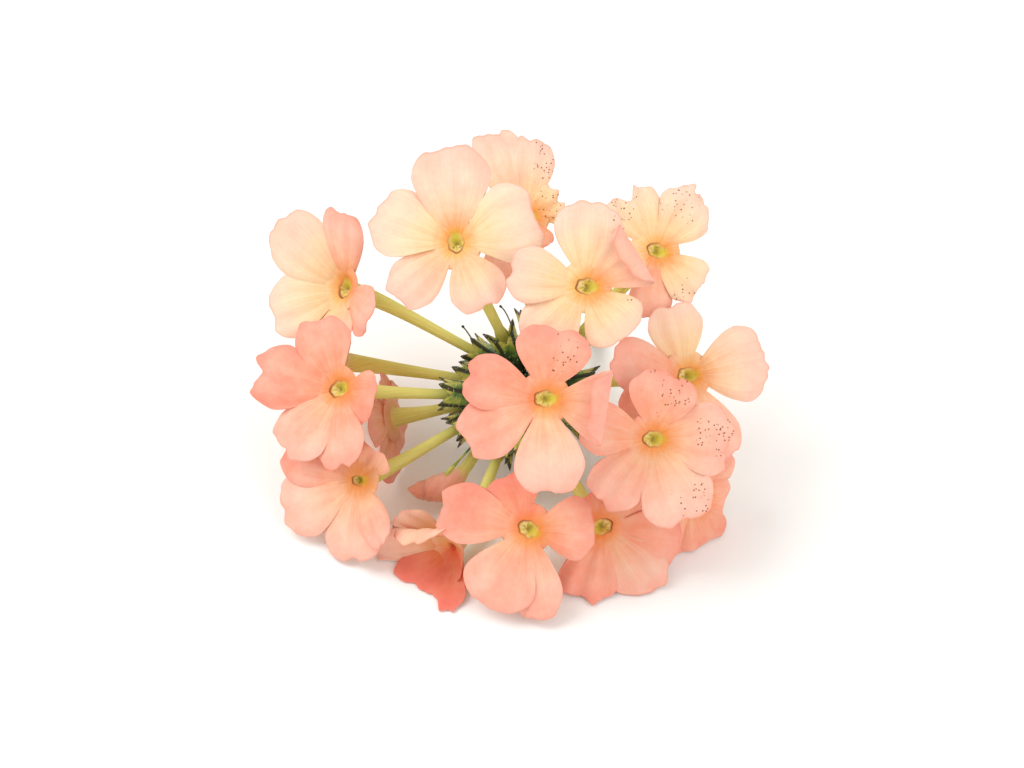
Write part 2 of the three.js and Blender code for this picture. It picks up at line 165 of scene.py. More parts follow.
HEAD_AXIS = np.array([-0.39, -0.84, 0.38])
HEAD_AXIS /= np.linalg.norm(HEAD_AXIS)
RACHIS_RADIUS = 1.1
RACHIS_HALF = 4.6
STALK_RADIUS = 0.95
STALK_LENGTH = 25.3  # from the cut to the rachis's middle
STALK_EDGE = 0.06  # how far its four edges stand out, as a share of its radius
STALK_SIDES = 32
STALK_POINTS = 60
CUT_BEVEL = 0.08
STALK_WRAP = 8  # the length of stem that the UV map is high
FIBRES_ROUND = 24  # a quarter of a millimetre apart
FIBRE_LENGTH = 4
STALK_RELIEF = 0.06


def unit(vectors):
    """The vectors at length 1."""
    return vectors / np.linalg.norm(vectors, axis=-1, keepdims=True)


def cross_pair(direction):
    """Two unit vectors square to each direction: +X made square to it, and the cross product of the two."""
    first = unit(np.array([1.0, 0, 0]) - direction[..., :1] * direction)
    return first, np.cross(direction, first)


def rings_on(line, distances, radii, pushes=0.0):
    """Rings of points round a path: at each distance along it, and for each turn round it, the path's
    point + radius * (cos(turn) * first cross vector + sin(turn) * second) + push * forward.
    Distances are one to a ring; radii and pushes are rings by points round a ring."""
    lengths = np.concatenate([[0], np.cumsum(np.linalg.norm(np.diff(line, axis=0), axis=1))])
    slopes = np.gradient(line, lengths, axis=0)
    centres = np.stack([np.interp(distances, lengths, column) for column in line.T], 1)
    forward = unit(np.stack([np.interp(distances, lengths, column) for column in slopes.T], 1))
    first, second = cross_pair(forward)
    turns = np.linspace(0, 2 * np.pi, radii.shape[1], endpoint=False)
    return (
        centres[:, None]
        + (radii * np.cos(turns))[..., None] * first[:, None]
        + (radii * np.sin(turns))[..., None] * second[:, None]
        + np.broadcast_to(pushes, radii.shape)[..., None] * forward[:, None]
    )


def skin(rings):
    """The points and faces of a closed skin over rings, each end closed by a point in its middle."""
    rows, sides = rings.shape[:2]
    points = np.concatenate([rings.reshape(-1, 3), [rings[0].mean(0)], [rings[-1].mean(0)]])
    row, side = np.meshgrid(np.arange(rows - 1), np.arange(sides), indexing="ij")
    here = row * sides + side
    beside = row * sides + (side + 1) % sides
    walls = np.stack([here, beside, beside + sides, here + sides], -1).reshape(-1, 4)
    around = np.arange(sides)
    after = (around + 1) % sides
    first = np.stack([after, around, np.full(sides, rows * sides)], 1)
    last = np.stack([around, after, np.full(sides, rows * sides + 1)], 1)
    last[:, :2] += (rows - 1) * sides
    return points, [walls, first, last]


def on_skin(values, radii):
    """A mark for each point of the skin over rings of these radii. The values are one for all, a column with
    one to a ring, or one to a turn, and the two end points get the mean of their ring."""
    spread = np.broadcast_to(values, radii.shape)
    return np.concatenate([spread.reshape(-1), [spread[0].mean()], [spread[-1].mean()]])


def ringed(line, distances, radii, pushes=0.0, **marks):
    """A closed shell of rings round a path, as its points, its faces and its marks spread over its skin."""
    points, faces = skin(rings_on(line, distances, radii, pushes))
    return points, faces, {mark: on_skin(values, radii) for mark, values in marks.items()}


def shell_volume(points, faces):
    """The signed volume in a shell: a sum of dot(a, b x c) / 6 over the triangles of its faces."""
    total = 0.0
    for group in faces:
        for k in range(1, group.shape[1] - 1):
            a, b, c = points[group[:, 0]], points[group[:, k]], points[group[:, k + 1]]
            total += np.einsum("ij,ij->", a, np.cross(b, c)) / 6
    return total


def piece(name, shells, material, node=None):
    """One object from closed shells, given as (points, faces, marks), that rides the root body and stands
    for the node. Each shell's faces are turned outwards. The marks u and v become the UV map, and
    every other mark a point attribute."""
    points, faces, marks, start = [], [], {}, 0
    for shell_points, shell_faces, shell_marks in shells:
        inside_out = shell_volume(shell_points - shell_points.mean(0), shell_faces) < 0
        for group in shell_faces:
            faces += (start + (group[:, ::-1] if inside_out else group)).tolist()
        points.append(shell_points)
        for mark, values in shell_marks.items():
            marks.setdefault(mark, []).append(np.broadcast_to(values, len(shell_points)))
        start += len(shell_points)
    mesh = bpy.data.meshes.new(name)
    mesh.from_pydata(np.concatenate(points) * MM, [], faces)
    mesh.polygons.foreach_set("use_smooth", np.ones(len(faces), bool))
    corners = np.empty(len(mesh.loops), np.int32)
    mesh.loops.foreach_get("vertex_index", corners)
    marks = {mark: np.concatenate(values) for mark, values in marks.items()}
    flat = np.stack([marks.pop("u"), marks.pop("v")], 1)[corners]
    mesh.uv_layers.new(name="UVMap").data.foreach_set("uv", flat.astype(np.float32).ravel())
    for mark, values in marks.items():
        mesh.attributes.new(mark, "FLOAT", "POINT").data.foreach_set("value", values.astype(np.float32))
    mesh.materials.append(material)
    made = bpy.data.objects.new(name, mesh)
    bpy.context.scene.collection.objects.link(made)
    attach(made, "root")
    if node:
        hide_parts(node)


def green_stem():
    """The skin of a young stem: fibrous, so it has fine lines along it, and waxy, so it shines a little.
    It looks fresh green with darker fibres, and its cut end is paler."""
    material, tree = fresh_material("green_stem_skin")
    flat = add(tree, "UVMap", uv_map="UVMap").outputs["UV"]
    fibres = add(tree, "Mapping", {"Vector": flat, "Scale": (FIBRES_ROUND, STALK_WRAP / FIBRE_LENGTH, 1)})
    lines = add(tree, "TexNoise", {"Vector": fibres.outputs["Vector"], "Scale": 1, "Detail": 4})
    shades = add(tree, "ValToRGB", {"Fac": lines.outputs["Fac"]}, [
        (0.3, "#2f3d12"), (0.5, "#5f7029"), (0.7, "#8d9c4c"),
    ])
    cut = add(tree, "Attribute", attribute_name="cut").outputs["Fac"]
    colour = add(tree, "Mix", {0: cut, 6: shades.outputs["Color"], 7: linear("#b9c487")}, data_type="RGBA")
    relief = {"Height": lines.outputs["Fac"], "Strength": 0.5, "Distance": STALK_RELIEF * MM}
    bump = add(tree, "Bump", relief)
    surface = add(tree, "BsdfPrincipled", {
        "Base Color": colour.outputs[2], "Roughness": 0.5, "Normal": bump.outputs["Normal"],
        "Subsurface Weight": 0.15, "Subsurface Scale": 0.5 * MM, "Subsurface Radius": (0.6, 0.9, 0.3),
    })
    add(tree, "OutputMaterial", {"Surface": surface.outputs["BSDF"]})
    return material


def stalk_shell():
    """The stem as rings along the head's axis. Radius = profile * (1 + edge * cos(4 * turn)), which gives it
    the four edges of a verbena's stem. The first rings make the flat cut, the profile swells where the
    rachis starts, and the last rings close over the rachis's end."""
    ends = RACHIS_MIDDLE + np.outer([-STALK_LENGTH, RACHIS_HALF], HEAD_AXIS)
    line = np.linspace(*ends, STALK_POINTS)
    whole = STALK_LENGTH + RACHIS_HALF
    rachis_foot = whole - 2 * RACHIS_HALF
    along = np.concatenate([[0, 0, CUT_BEVEL], np.linspace(0.3, whole - 0.6, 26), [whole - 0.2, whole]])
    knots = [0, rachis_foot - 1, rachis_foot + 1, whole - 0.6, whole]
    radius = np.interp(along, knots, STALK_RADIUS * np.array([1, 1, 1.16, 0.98, 0.45]))
    radius[:2] *= [0.6, 0.94]
    turns = np.linspace(0, 2 * np.pi, STALK_SIDES, endpoint=False)
    radii = radius[:, None] * (1 + STALK_EDGE * np.cos(4 * turns))
    cut = (along < CUT_BEVEL)[:, None]
    return ringed(line, along, radii, u=turns / (2 * np.pi), v=along[:, None] / STALK_WRAP, cut=cut)


piece("stem", [stalk_shell()], green_stem(), "stalk")

# --- The calyces ---
# Each floret sits in a calyx: a tube of five fused sepals, green and ribbed, with five pointed teeth
# round its mouth. It is grown onto the rachis at its foot and grips the corolla's tube.

SEAT_GAP = 0.3
CALYX_LENGTH = 9.0
CALYX_FOOT_RADIUS = 0.55
CALYX_MOUTH_RADIUS = 1.9
CALYX_SIDES = 80
SEPAL_THICKNESS = 0.13
TOOTH_LENGTH = 1.9
TEETH_FROM = 0.7  # the share of the calyx's length where its teeth come free
TOOTH_BEND = 0.42
NOTCH_BEND = 0.1
TUBE_ROOT_RADIUS = 0.66
TUBE_CLEARANCE = 0.15
SPENT_HOLE_RADIUS = 0.3
OPEN_SIDE = np.array([0, -0.72, 0.69])  # the way that most florets face
LINE_POINTS = 120
SEPAL_BLOTCH = 1.111
SEPAL_RELIEF = 0.08

# Each floret: its throat from the rachis middle, the way it faces, how its lobes rise from the throat and
# bend on the way out, its seat on the rachis, its lobes, and how warm each lobe's colour is, from cream at
# 0 to coral at 1. The warmth is partly the lobe's own colour and partly painted shade: lobes that lie in
# shade get warmer, deeper tints, most of all the two deep red lobes of floret_10.
# A lobe has a clock angle that starts at the right and turns left over the top, a length,
# a width, and in some a roll of the tip and an extra rise. All the angles are in degrees.
FLORETS = [
    ((1.5, -20.4, 17.7), (0, -0.68, 0.73), 8, -6, 4.2,
     ((79, 8, 9.6), (163, 9.1, 7.2), (208, 10.2, 7.9), (275, 10.8, 8.9), (351, 10.8, 9.6, 215)),
     (0.65, 0.7, 0.6, 0.4, 0.5)),
    ((6.8, -7, 24.4), (0, -0.63, 0.78), 8, -6, 1.2,
     ((87, 9.8, 8.8), (168, 8.8, 7.6), (228, 9, 8), (309, 7.2, 8.4), (31, 10.4, 8.6, 225)),
     (0.12, 0.15, 0.1, 0.05, 0.35)),
    ((-9.6, 0.5, 25), (-0.1, -0.58, 0.81), 8, -8, 0.4,
     ((94, 11.8, 10.3), (159, 10.3, 9.3), (222, 9.5, 7.2), (296, 8.4, 7.6), (19, 10, 11.2)),
     (0.25, 0.04, 0.25, 0.22, 0.04)),
    ((15.3, -19, 9.2), (0.1, -0.72, 0.69), 8, -8, 2.2,
     ((77, 7.6, 9.2), (168, 8.2, 7), (231, 9.4, 7.4), (294, 10.4, 9.8), (0, 9.2, 9.6)),
     (0.62, 0.55, 0.5, 0.38, 0.45)),
    ((-0.5, -24.8, -1.2), (0, -0.71, 0.71), 8, -8, 4.6,
     ((166, 10.6, 8, 0, 3), (117, 6.2, 8.6), (0, 7.6, 8.4), (243, 10.2, 9.8), (279, 10.8, 6.6)),
     (0.66, 0.78, 0.6, 0.54, 0.52)),
    ((-25.3, -6.7, 6), (-0.45, -0.61, 0.66), 22, -10, 4.4,
     ((167, 10.5, 8.8), (232, 9.8, 8.6), (282, 10, 7.6), (345, 5.8, 7.4), (102, 8.8, 8)),
     (0.66, 0.44, 0.58, 0.7, 0.6)),
    ((-22.7, -15.7, -1.8), (-0.42, -0.67, 0.62), 12, -10, 2.3,
     ((203, 10.6, 9.3), (267, 9.6, 9.2), (302, 9.2, 5, 0, 14), (56, 4, 6.4), (154, 10.2, 9.2)),
     (0.38, 0.45, 0.5, 0.45, 0.6)),
    ((20.3, -7, 8.9), (0.25, -0.66, 0.71), 10, -5, 0.5,
     ((104, 8.5, 7.9), (12, 10, 10.2), (294, 11.2, 7.2), (216, 9.4, 6.8, 0, -4),
      (173, 12.2, 7.4, 0, 20)),
     (0.1, 0.18, 0.3, 0.5, 0.52)),
    ((9.5, -21.2, -4.7), (0.15, -0.7, 0.7), 12, -8, 3,
     ((253, 9.3, 7.8), (307, 10, 8.2), (345, 9.2, 8.8), (57, 7.6, 7.5), (122, 3.6, 6.6)),
     (0.62, 0.45, 0.58, 0.6, 0.65)),
    ((-10, -22, -7.5), (-0.5, -0.86, 0.05), 50, -10, 0.6,
     ((248, 9, 9.2, 0, 2), (300, 9.7, 5.6, 0, 12), (118, 8.8, 9, 100, -8), (158, 7.6, 7.2, 0, -24),
      (200, 9.7, 8.8, 0, -16)),
     (0.94, 0.92, 0.28, 0.26, 0.32)),
    ((-24.9, 8.4, 10.1), (-0.66, -0.47, 0.59), 30, -10, -2,
     ((131, 12.6, 9.6), (194, 10.3, 9.4), (267, 7.6, 7.5), (327, 10, 7), (74, 10.2, 7.8)),
     (0.06, 0.02, 0.15, 0.5, 0.47)),
    ((16.4, 5.6, 19.5), (0.25, -0.45, 0.86), 10, -6, -2.2,
     ((117, 7.6, 9.4), (54, 9.5, 8), (320, 6.8, 7, 0, -5), (266, 8, 5.8, 0, -15), (201, 7.2, 7.6)),
     (-0.05, 0.08, -0.1, 0.5, 0.12)),
    ((-0.8, 12.2, 19.8), (0.1, -0.4, 0.91), 10, -4, -2.8,
     ((113, 11.6, 7.8), (87, 10.3, 7.4), (28, 4.6, 6), (300, 4.4, 4), (255, 10.4, 7)),
     (0.15, 0.2, -0.2, 0.45, 0.45)),
    ((21, -16.1, -5.2), (0.6, -0.64, 0.48), 10, -5, -1.2,
     ((54, 7.2, 8), (345, 4.9, 8.5), (297, 6.4, 8.5), (240, 6.4, 7.5, 0, -8), (141, 6.8, 7.5)),
     (0.55, 0.6, 0.62, 0.6, 0.6)),
    ((-18.8, -1.5, -4.3), (-0.96, 0.12, -0.26), 8, -4, 2.8,
     ((16, 5.6, 7.4), (88, 8, 8), (160, 8, 8), (232, 5, 6.4), (304, 4.6, 6.4)),
     (0.45, 0.45, 0.45, 0.45, 0.45)),
    ((-25.5, 6, -1), (-0.98, 0, 0.17), 8, -4, 0.6,
     ((10, 6, 7), (82, 6, 7), (154, 6, 7), (226, 6, 7), (298, 6, 7)),
     (0.4, 0.4, 0.4, 0.4, 0.4)),
]


def floret_line(throat, facing, seat, arrives=0.28):
    """The line of a floret: a cubic Bezier curve. Its four points are the foot, where the calyx clears the
    rachis; half the span straight out from there; arrives * span behind the throat, against the way it
    faces; and the throat. The span is from the foot to the throat."""
    throat, face = np.array(throat, float), unit(np.array(facing, float))
    on_rachis = seat * HEAD_AXIS
    out = unit(throat - on_rachis)
    cos = out @ HEAD_AXIS
    sin = np.sqrt(1 - cos * cos)
    past_side = (RACHIS_RADIUS + SEAT_GAP + CALYX_FOOT_RADIUS * cos) / sin
    over_top = RACHIS_HALF - seat + SEAT_GAP + CALYX_FOOT_RADIUS * sin
    start = on_rachis + out * (min(past_side, over_top / cos) if cos > 0.1 else past_side)
    span = np.linalg.norm(throat - start)
    knots = np.stack([start, start + 0.5 * span * out, throat - arrives * span * face, throat])
    t = np.linspace(0, 1, LINE_POINTS)[:, None]
    weights = np.hstack([(1 - t) ** 3, 3 * t * (1 - t) ** 2, 3 * t * t * (1 - t), t**3])
    return weights @ knots + RACHIS_MIDDLE


def length_of(line):
    """The length of a line of points."""
    return np.linalg.norm(np.diff(line, axis=0), axis=1).sum()


def calyx_shell(line, length=CALYX_LENGTH, width=1.0, lean=0.0, floor=0.6):
    """A calyx as rings along its line: up the outside to the teeth, over their edge and down the inside to
    the floor. Radius = profile * (0.94 + 0.12 * rib), where rib = |cos(2.5 * (turn - first))|^4 makes
    five ribs, and each rib ends in a tooth that falls off to the notch half way to the next as
    1 - share^1.1. The first rib is turned so that a furrow faces the head's open side. The teeth bend
    outwards, or inwards by the lean where the corolla has fallen."""
    ahead = line[-1] - line[-2] if lean else line[LINE_POINTS // 2] - line[LINE_POINTS // 4]
    right, up = cross_pair(unit(ahead))
    turns = np.linspace(0, 2 * np.pi, CALYX_SIDES, endpoint=False)
    turned = turns - np.arctan2(OPEN_SIDE @ up, OPEN_SIDE @ right) - np.pi / 5
    rib = np.abs(np.cos(2.5 * turned)) ** 4
    from_rib = np.abs((turned * 5 / (2 * np.pi) + 0.5) % 1 - 0.5) * 2
    tooth = 1 - from_rib**1.1
    foot = CALYX_FOOT_RADIUS * width
    mouth = CALYX_MOUTH_RADIUS * width
    hole = SPENT_HOLE_RADIUS if lean else TUBE_ROOT_RADIUS + TUBE_CLEARANCE
    upwards = np.array([0, 0, 0.03, 0.1, 0.2, 0.3, 0.42, 0.54, 0.64, 0.74, 0.82, 0.89, 0.95, 1])
    outside = np.interp(upwards, [0, 0.2, 0.6, 1], [foot, mouth * 0.66, mouth * 0.92, mouth * 0.98])
    outside[0] *= 0.5
    downwards = np.array([0.99, 0.9, 0.78, floor])
    inside = np.interp(downwards, [floor, 1], [hole, mouth * 0.98 - SEPAL_THICKNESS])
    share = np.concatenate([upwards, downwards])[:, None]
    radius = np.concatenate([outside, inside])[:, None]
    free = np.clip((share - TEETH_FROM) / (1 - TEETH_FROM), 0, 1)
    bent = -lean * tooth if lean else TOOTH_BEND * tooth - NOTCH_BEND * (1 - tooth)
    radii = radius * (0.94 + 0.12 * rib) + free**1.5 * bent
    pushes = -free * TOOTH_LENGTH * width * (1 - tooth)
    near_tip = np.clip(2.5 * (share * (0.8 + 0.2 * tooth) - 0.88) / 0.12, 0, 1)
    dark_tip = near_tip * np.clip(3 * tooth - 1, 0, 1)
    dark_rib = np.clip(1.3 * rib**2, 0, 1)
    return ringed(
        line, share[:, 0] * length, radii, pushes, u=turns / (2 * np.pi),
        v=share - 0.12 * free * (1 - tooth), rib=np.maximum(dark_rib, dark_tip),
    )


def ribbed_green_sepal():
    """Sepal tissue: leathery and a little waxy. Its ribs and the tips of its teeth look dark bottle green,
    and the thin skin between them runs from near black green at the foot, partly painted shade where the
    calyces crowd round the rachis, to yellow green towards the mouth, where it lets light through."""
    material, tree = fresh_material("ribbed_green_sepal")
    place = add(tree, "TexCoord").outputs["Object"]
    blotches = {"Vector": place, "Scale": per_metre(SEPAL_BLOTCH), "Detail": 4}
    blotch = add(tree, "TexNoise", blotches).outputs["Fac"]
    rib = add(tree, "Attribute", attribute_name="rib").outputs["Fac"]
    uneven = add(tree, "Math", {0: blotch, 1: 0.7, 2: -0.35}, operation="MULTIPLY_ADD").outputs[0]
    flat = add(tree, "SeparateXYZ", {0: add(tree, "UVMap", uv_map="UVMap").outputs["UV"]})
    up_calyx = add(tree, "Math", {0: flat.outputs["Y"], 1: uneven}, operation="ADD").outputs[0]
    # Near black green low on the calyx is partly painted shade among the feet round the rachis.
    panel = add(tree, "ValToRGB", {"Fac": up_calyx}, [
        (0, "#0f1b08"), (0.42, "#1b300c"), (0.6, "#345a16"), (0.72, "#6a8a2a"), (0.84, "#a9b044"),
        (1, "#cfc866"),
    ])
    mixed = add(tree, "Math", {0: rib, 1: uneven}, operation="ADD", use_clamp=True).outputs[0]
    dark = add(tree, "MapRange", {0: mixed, 1: 0.35, 2: 0.8, 3: 0, 4: 0.95}).outputs[0]
    sockets = {0: dark, 6: panel.outputs["Color"], 7: linear("#13220a")}
    shades = add(tree, "Mix", sockets, data_type="RGBA").outputs[2]
    bump = add(tree, "Bump", {"Height": blotch, "Strength": 0.6, "Distance": SEPAL_RELIEF * MM})
    surface = add(tree, "BsdfPrincipled", {
        "Base Color": shades, "Roughness": 0.42, "Normal": bump.outputs["Normal"],
        "Subsurface Weight": 0.1, "Subsurface Scale": 0.4 * MM, "Subsurface Radius": (0.6, 0.9, 0.2),
    })
    add(tree, "OutputMaterial", {"Surface": surface.outputs["BSDF"]})
    return material


sepal = ribbed_green_sepal()
floret_lines = [floret_line(throat, facing, seat) for throat, facing, _, _, seat, _, _ in FLORETS]
calyces = [calyx_shell(line) for line in floret_lines]
for number, shell in enumerate(calyces, 1):
    piece(f"cup_{number:02d}", [shell], sepal, f"calyx_{number:02d}")

# --- The corollas ---
# Each corolla is one petal tissue grown as a slender tube that opens into five notched lobes, which are
# joined round the throat. The lobes are soft blades a fifth of a millimetre thick with wavy edges.

TUBE_START = 5.8
TUBE_THROAT_RADIUS = 1.35
TUBE_PUSH = -0.35  # how far the whole tube is moved forward along its line
TUBE_RINGS = 26
THROAT_SIDES = 96
UNDER_RINGS = 4
LIMB_RADIUS = 3.4
# The rings past the tube: four out under the limb, eight back over it and seven down the funnel. Each has
# its radius, its height from the throat, how fully it takes the mouth's drawn-out shape, how far it lies
# off the middle and how deep its folds are.
LIMB_RINGS = [
    (1.5, -0.38, 0, 0, 0), (2.1, -0.42, 0, 0, 0), (2.8, -0.46, 0, 0, 0), (LIMB_RADIUS, -0.4, 0, 0, 0),
    (LIMB_RADIUS, -0.34, 0, 0, 0), (3.1, -0.22, 0, 0, 0), (2.6, -0.04, 0, 0, 0), (2.1, 0.09, 0.15, 0, 0),
    (1.7, 0.13, 0.5, 0, 0), (1.45, 0.13, 0.9, 0, 0), (1.28, 0.12, 1, 0, 0), (1.16, 0.06, 1, 0, 0),
    (1.07, 0, 1, 0, 0.03), (0.98, -0.05, 1, 0.04, 0.1), (0.87, -0.12, 0.9, 0.1, 0.16),
    (0.75, -0.2, 0.7, 0.2, 0.19), (0.6, -0.3, 0.5, 0.34, 0.18), (0.42, -0.4, 0.3, 0.5, 0.13),
    (0.2, -0.46, 0.2, 0.6, 0.06),
]
LOBE_ROOT = 1.1
LOBE_ROOT_HALF = 0.75
LOBE_HALF_THICKNESS = 0.11
LOBE_WIDEST = 0.72  # the share of a lobe's length where it has its full width
CURL_FROM = 0.72  # the share of the way to the edge or the tip where a lobe starts to curl back
LOBE_ROWS = 34
LOBE_COLUMNS = 37
SPINE_STEPS = 106
SPINE_STEP = 0.01  # as a share of the lobe's length
TABLE_LIFT = 0.28  # how high over the table a lobe's middle sheet lies on it
TABLE_REACH = 0.9  # the height over that where it starts to bend along the table
FAR = 9.0  # the reach that is marked on skin away from the throat, such as the tube's
# What a petal's skin is marked with, and the mark where a shell gives none: the reach from the throat's
# middle, how near the lobe's edge is, how thick specks lie, how warm the colour is, with painted shade in
# that warmth, whether it is an underside, how much of it is tube, how far up a fold it is, how far it is
# from the middle of the mouth's green, and how brown the mouth's rim is, partly as painted shade.
PETAL_MARKS = {
    "reach": FAR, "edge": 0, "specks": 0, "warmth": 0, "under": 0, "tube": 0, "fold": 0,
    "off_green": FAR, "rim": 0,
}
# The traits that are drawn for a lobe, each with its number in the draw.
TRAITS = {
    "cup": 1, "twist": 2, "frill": 3, "fine_frill": 4, "pleats": 5, "edge_wave": 7, "tip_wave": 8, "curl": 9,
}
# The patches of dark specks by floret and lobe: where each lies along and across, and its reach.
SPECKLED = {
    (0, 0): (0.6, -0.3, 0.34), (1, 0): (0.75, -0.7, 0.12), (1, 3): (0.5, 0.8, 0.1),
    (3, 0): (0.8, -0.3, 0.5), (3, 3): (0.9, 0.55, 0.45), (3, 4): (0.85, 0.1, 0.4),
    (11, 0): (0.85, 0.4, 0.35), (11, 1): (0.8, 0.4, 0.45), (11, 2): (0.9, -0.6, 0.3),
    (12, 1): (0.8, -0.8, 0.45), (12, 2): (0.6, 0, 0.6), (13, 0): (0.5, 0, 0.35),
}
NO_PATCH = (FAR, FAR, 1)
# How ruffled the lobes are that are more so than the rest.
EVEN_RUFFLE = 0.25
RUFFLED = {
    (3, 0): 0.7, (3, 4): 0.7, (5, 0): 0.6, (7, 1): 0.4, (8, 0): 0.5, (8, 1): 0.4, (9, 0): 0.45, (9, 1): 0.5,
    (9, 4): 0.5, (10, 0): 0.4, (11, 0): 0.9, (11, 1): 1.1, (11, 2): 0.6, (12, 0): 0.5, (12, 2): 0.8,
    (13, 0): 0.7,
}
# The cuts in the lobes' edges: where each lies across, how deep it is and how wide. Every lobe has the
# notch in its middle, and some have more.
NOTCH = (0, 0.03, 0.22)
CUT_IN = {
    (3, 4): ((-0.3, 0.08, 0.1),), (7, 1): ((0.3, 0.04, 0.08), (-0.35, 0.04, 0.1)),
    (9, 0): ((0.4, 0.08, 0.12),), (11, 0): ((0.05, 0.13, 0.14), (-0.95, 0.12, 0.2)),
    (11, 1): ((-0.8, 0.2, 0.22), (0.12, 0.1, 0.1)), (11, 2): ((0.6, 0.12, 0.16),),
    (12, 1): ((0.5, 0.07, 0.12),), (12, 2): ((0, 0.15, 0.15),),
}
# The florets whose lobes have the same colour on both sides.
SAME_BOTH_SIDES = {9}
# The way that the green at each mouth's edge lies, as a clock angle, where it isn't 0.
GREEN_TOWARDS = {2: 95, 4: -30, 5: 20, 8: 200, 9: 180, 10: 60, 11: -10}
GREEN_OUT = 1.2  # how far the middle of the green is from the mouth's
# How wide the mouths are that are pinched. One under a half is shut: it shows no throat and no green.
PINCHED = {9: 0.45, 6: 0.62}
SHUT_REACH = 1.5  # the least reach that a shut mouth is marked with
VEINS_ACROSS = 26  # a third of a millimetre apart on a lobe
SPECK_SPACING = 0.5
PETAL_RELIEF = 0.1
# The uneven patterns on petals: how wide the features of each are, and how many finer layers it has.
PETAL_PATTERNS = {
    "patches": (3.846, 2), "strewn": (1.4286, 2), "mottle": (0.7143, 3), "grain": (0.4545, 2),
    "cells": (0.25, 2),
}


def off_green(towards, aside):
    """How far a point is from the middle of the green at the mouth's edge."""
    return np.hypot(towards - GREEN_OUT, aside)


def chance(floret, lobe, trait):
    """A repeatable draw between -1 and 1 for a floret, a lobe of it, and one of the lobe's traits: twice
    the fraction of 43758.5453 * sin(12.9898 * floret + 78.233 * lobe + 37.719 * trait), less 1."""
    wave = np.sin(floret * 12.9898 + lobe * 78.233 + trait * 37.719) * 43758.5453
    return 2 * (wave - np.floor(wave)) - 1


def blade(middle, half):
    """A closed blade round a grid of points: each point is moved both ways along the normal, which is the
    cross product of the grid's two slopes, by half the thickness there, and the two sheets are joined
    round the rim."""
    rows, columns = middle.shape[:2]
    normal = unit(np.cross(np.gradient(middle, axis=0), np.gradient(middle, axis=1)))
    sheets = [middle + sign * half[..., None] * normal for sign in (1, -1)]
    points = np.concatenate([sheet.reshape(-1, 3) for sheet in sheets])
    row, column = np.meshgrid(np.arange(rows - 1), np.arange(columns - 1), indexing="ij")
    corner = (row * columns + column).reshape(-1)
    top = np.stack([corner, corner + columns, corner + columns + 1, corner + 1], 1)
    under = top[:, ::-1] + rows * columns
    index = np.arange(rows * columns).reshape(rows, columns)
    rim = np.concatenate([index[:, 0], index[-1, 1:], index[-2::-1, -1], index[0, -2:0:-1]])
    after = np.roll(rim, -1)
    wall = np.stack([after, rim, rim + rows * columns, after + rows * columns], 1)
    return points, [top, under, wall]


def on_blade(values, middle):
    """A mark for each point of the blade round a grid: the same on both its sheets."""
    return np.tile(np.broadcast_to(values, middle.shape[:2]).reshape(-1), 2)


def lay_on_table(points):
    """Points that would be under the table or just over it are bent to lie along it: below lift + reach,
    height = lift + reach * exp((height - lift - reach) / reach)."""
    start = TABLE_LIFT + TABLE_REACH
    laid = TABLE_LIFT + TABLE_REACH * np.exp((points[..., 2] - start) / TABLE_REACH)
    points[..., 2] = np.where(points[..., 2] > start, points[..., 2], laid)
    return points


def lobe_outline(t, cuts, ruffle, draw):
    """How far a lobe reaches at each place t across it, as a share of its length:
    0.62 + 0.38 * sqrt(1 - |t|^2.8), less depth * exp(-((t - place) / width)^2) for each of its cuts, and
    with a frill of three sine waves that fades at the sides as 1 - t^8."""
    frill = 0.022 * np.sin(5 * t + 3 * draw["frill"]) + 0.012 * np.sin(11 * t + 3 * draw["fine_frill"])
    frill = (frill + 0.004 * np.sin(23 * t)) * (1 + 2 * (ruffle - EVEN_RUFFLE))
    cut_off = sum(depth * np.exp(-(((t - place) / wide) ** 2)) for place, depth, wide in cuts)
    return 0.62 + 0.38 * np.sqrt(1 - np.abs(t) ** 2.8) - cut_off + frill * (1 - t**8)


def lobe_spine(along, length, rise, bend, roll):
    """How far out from the throat and how far up the middle of a lobe is at each share along it. Its slope
    is rise + bend * along, and past the half roll * (2 * along - 1) is added. Out and up are the sums of
    the slope's cosines and sines, step by step."""
    steps = np.linspace(0, SPINE_STEP * (SPINE_STEPS - 1), SPINE_STEPS)
    slope = np.radians(rise + bend * steps + roll * np.clip(2 * steps - 1, 0, None))[:-1]
    out = SPINE_STEP * np.concatenate([[0], np.cumsum(np.cos(slope))])
    up = SPINE_STEP * np.concatenate([[0], np.cumsum(np.sin(slope))])
    return LOBE_ROOT + length * np.interp(along, steps, out), length * np.interp(along, steps, up)


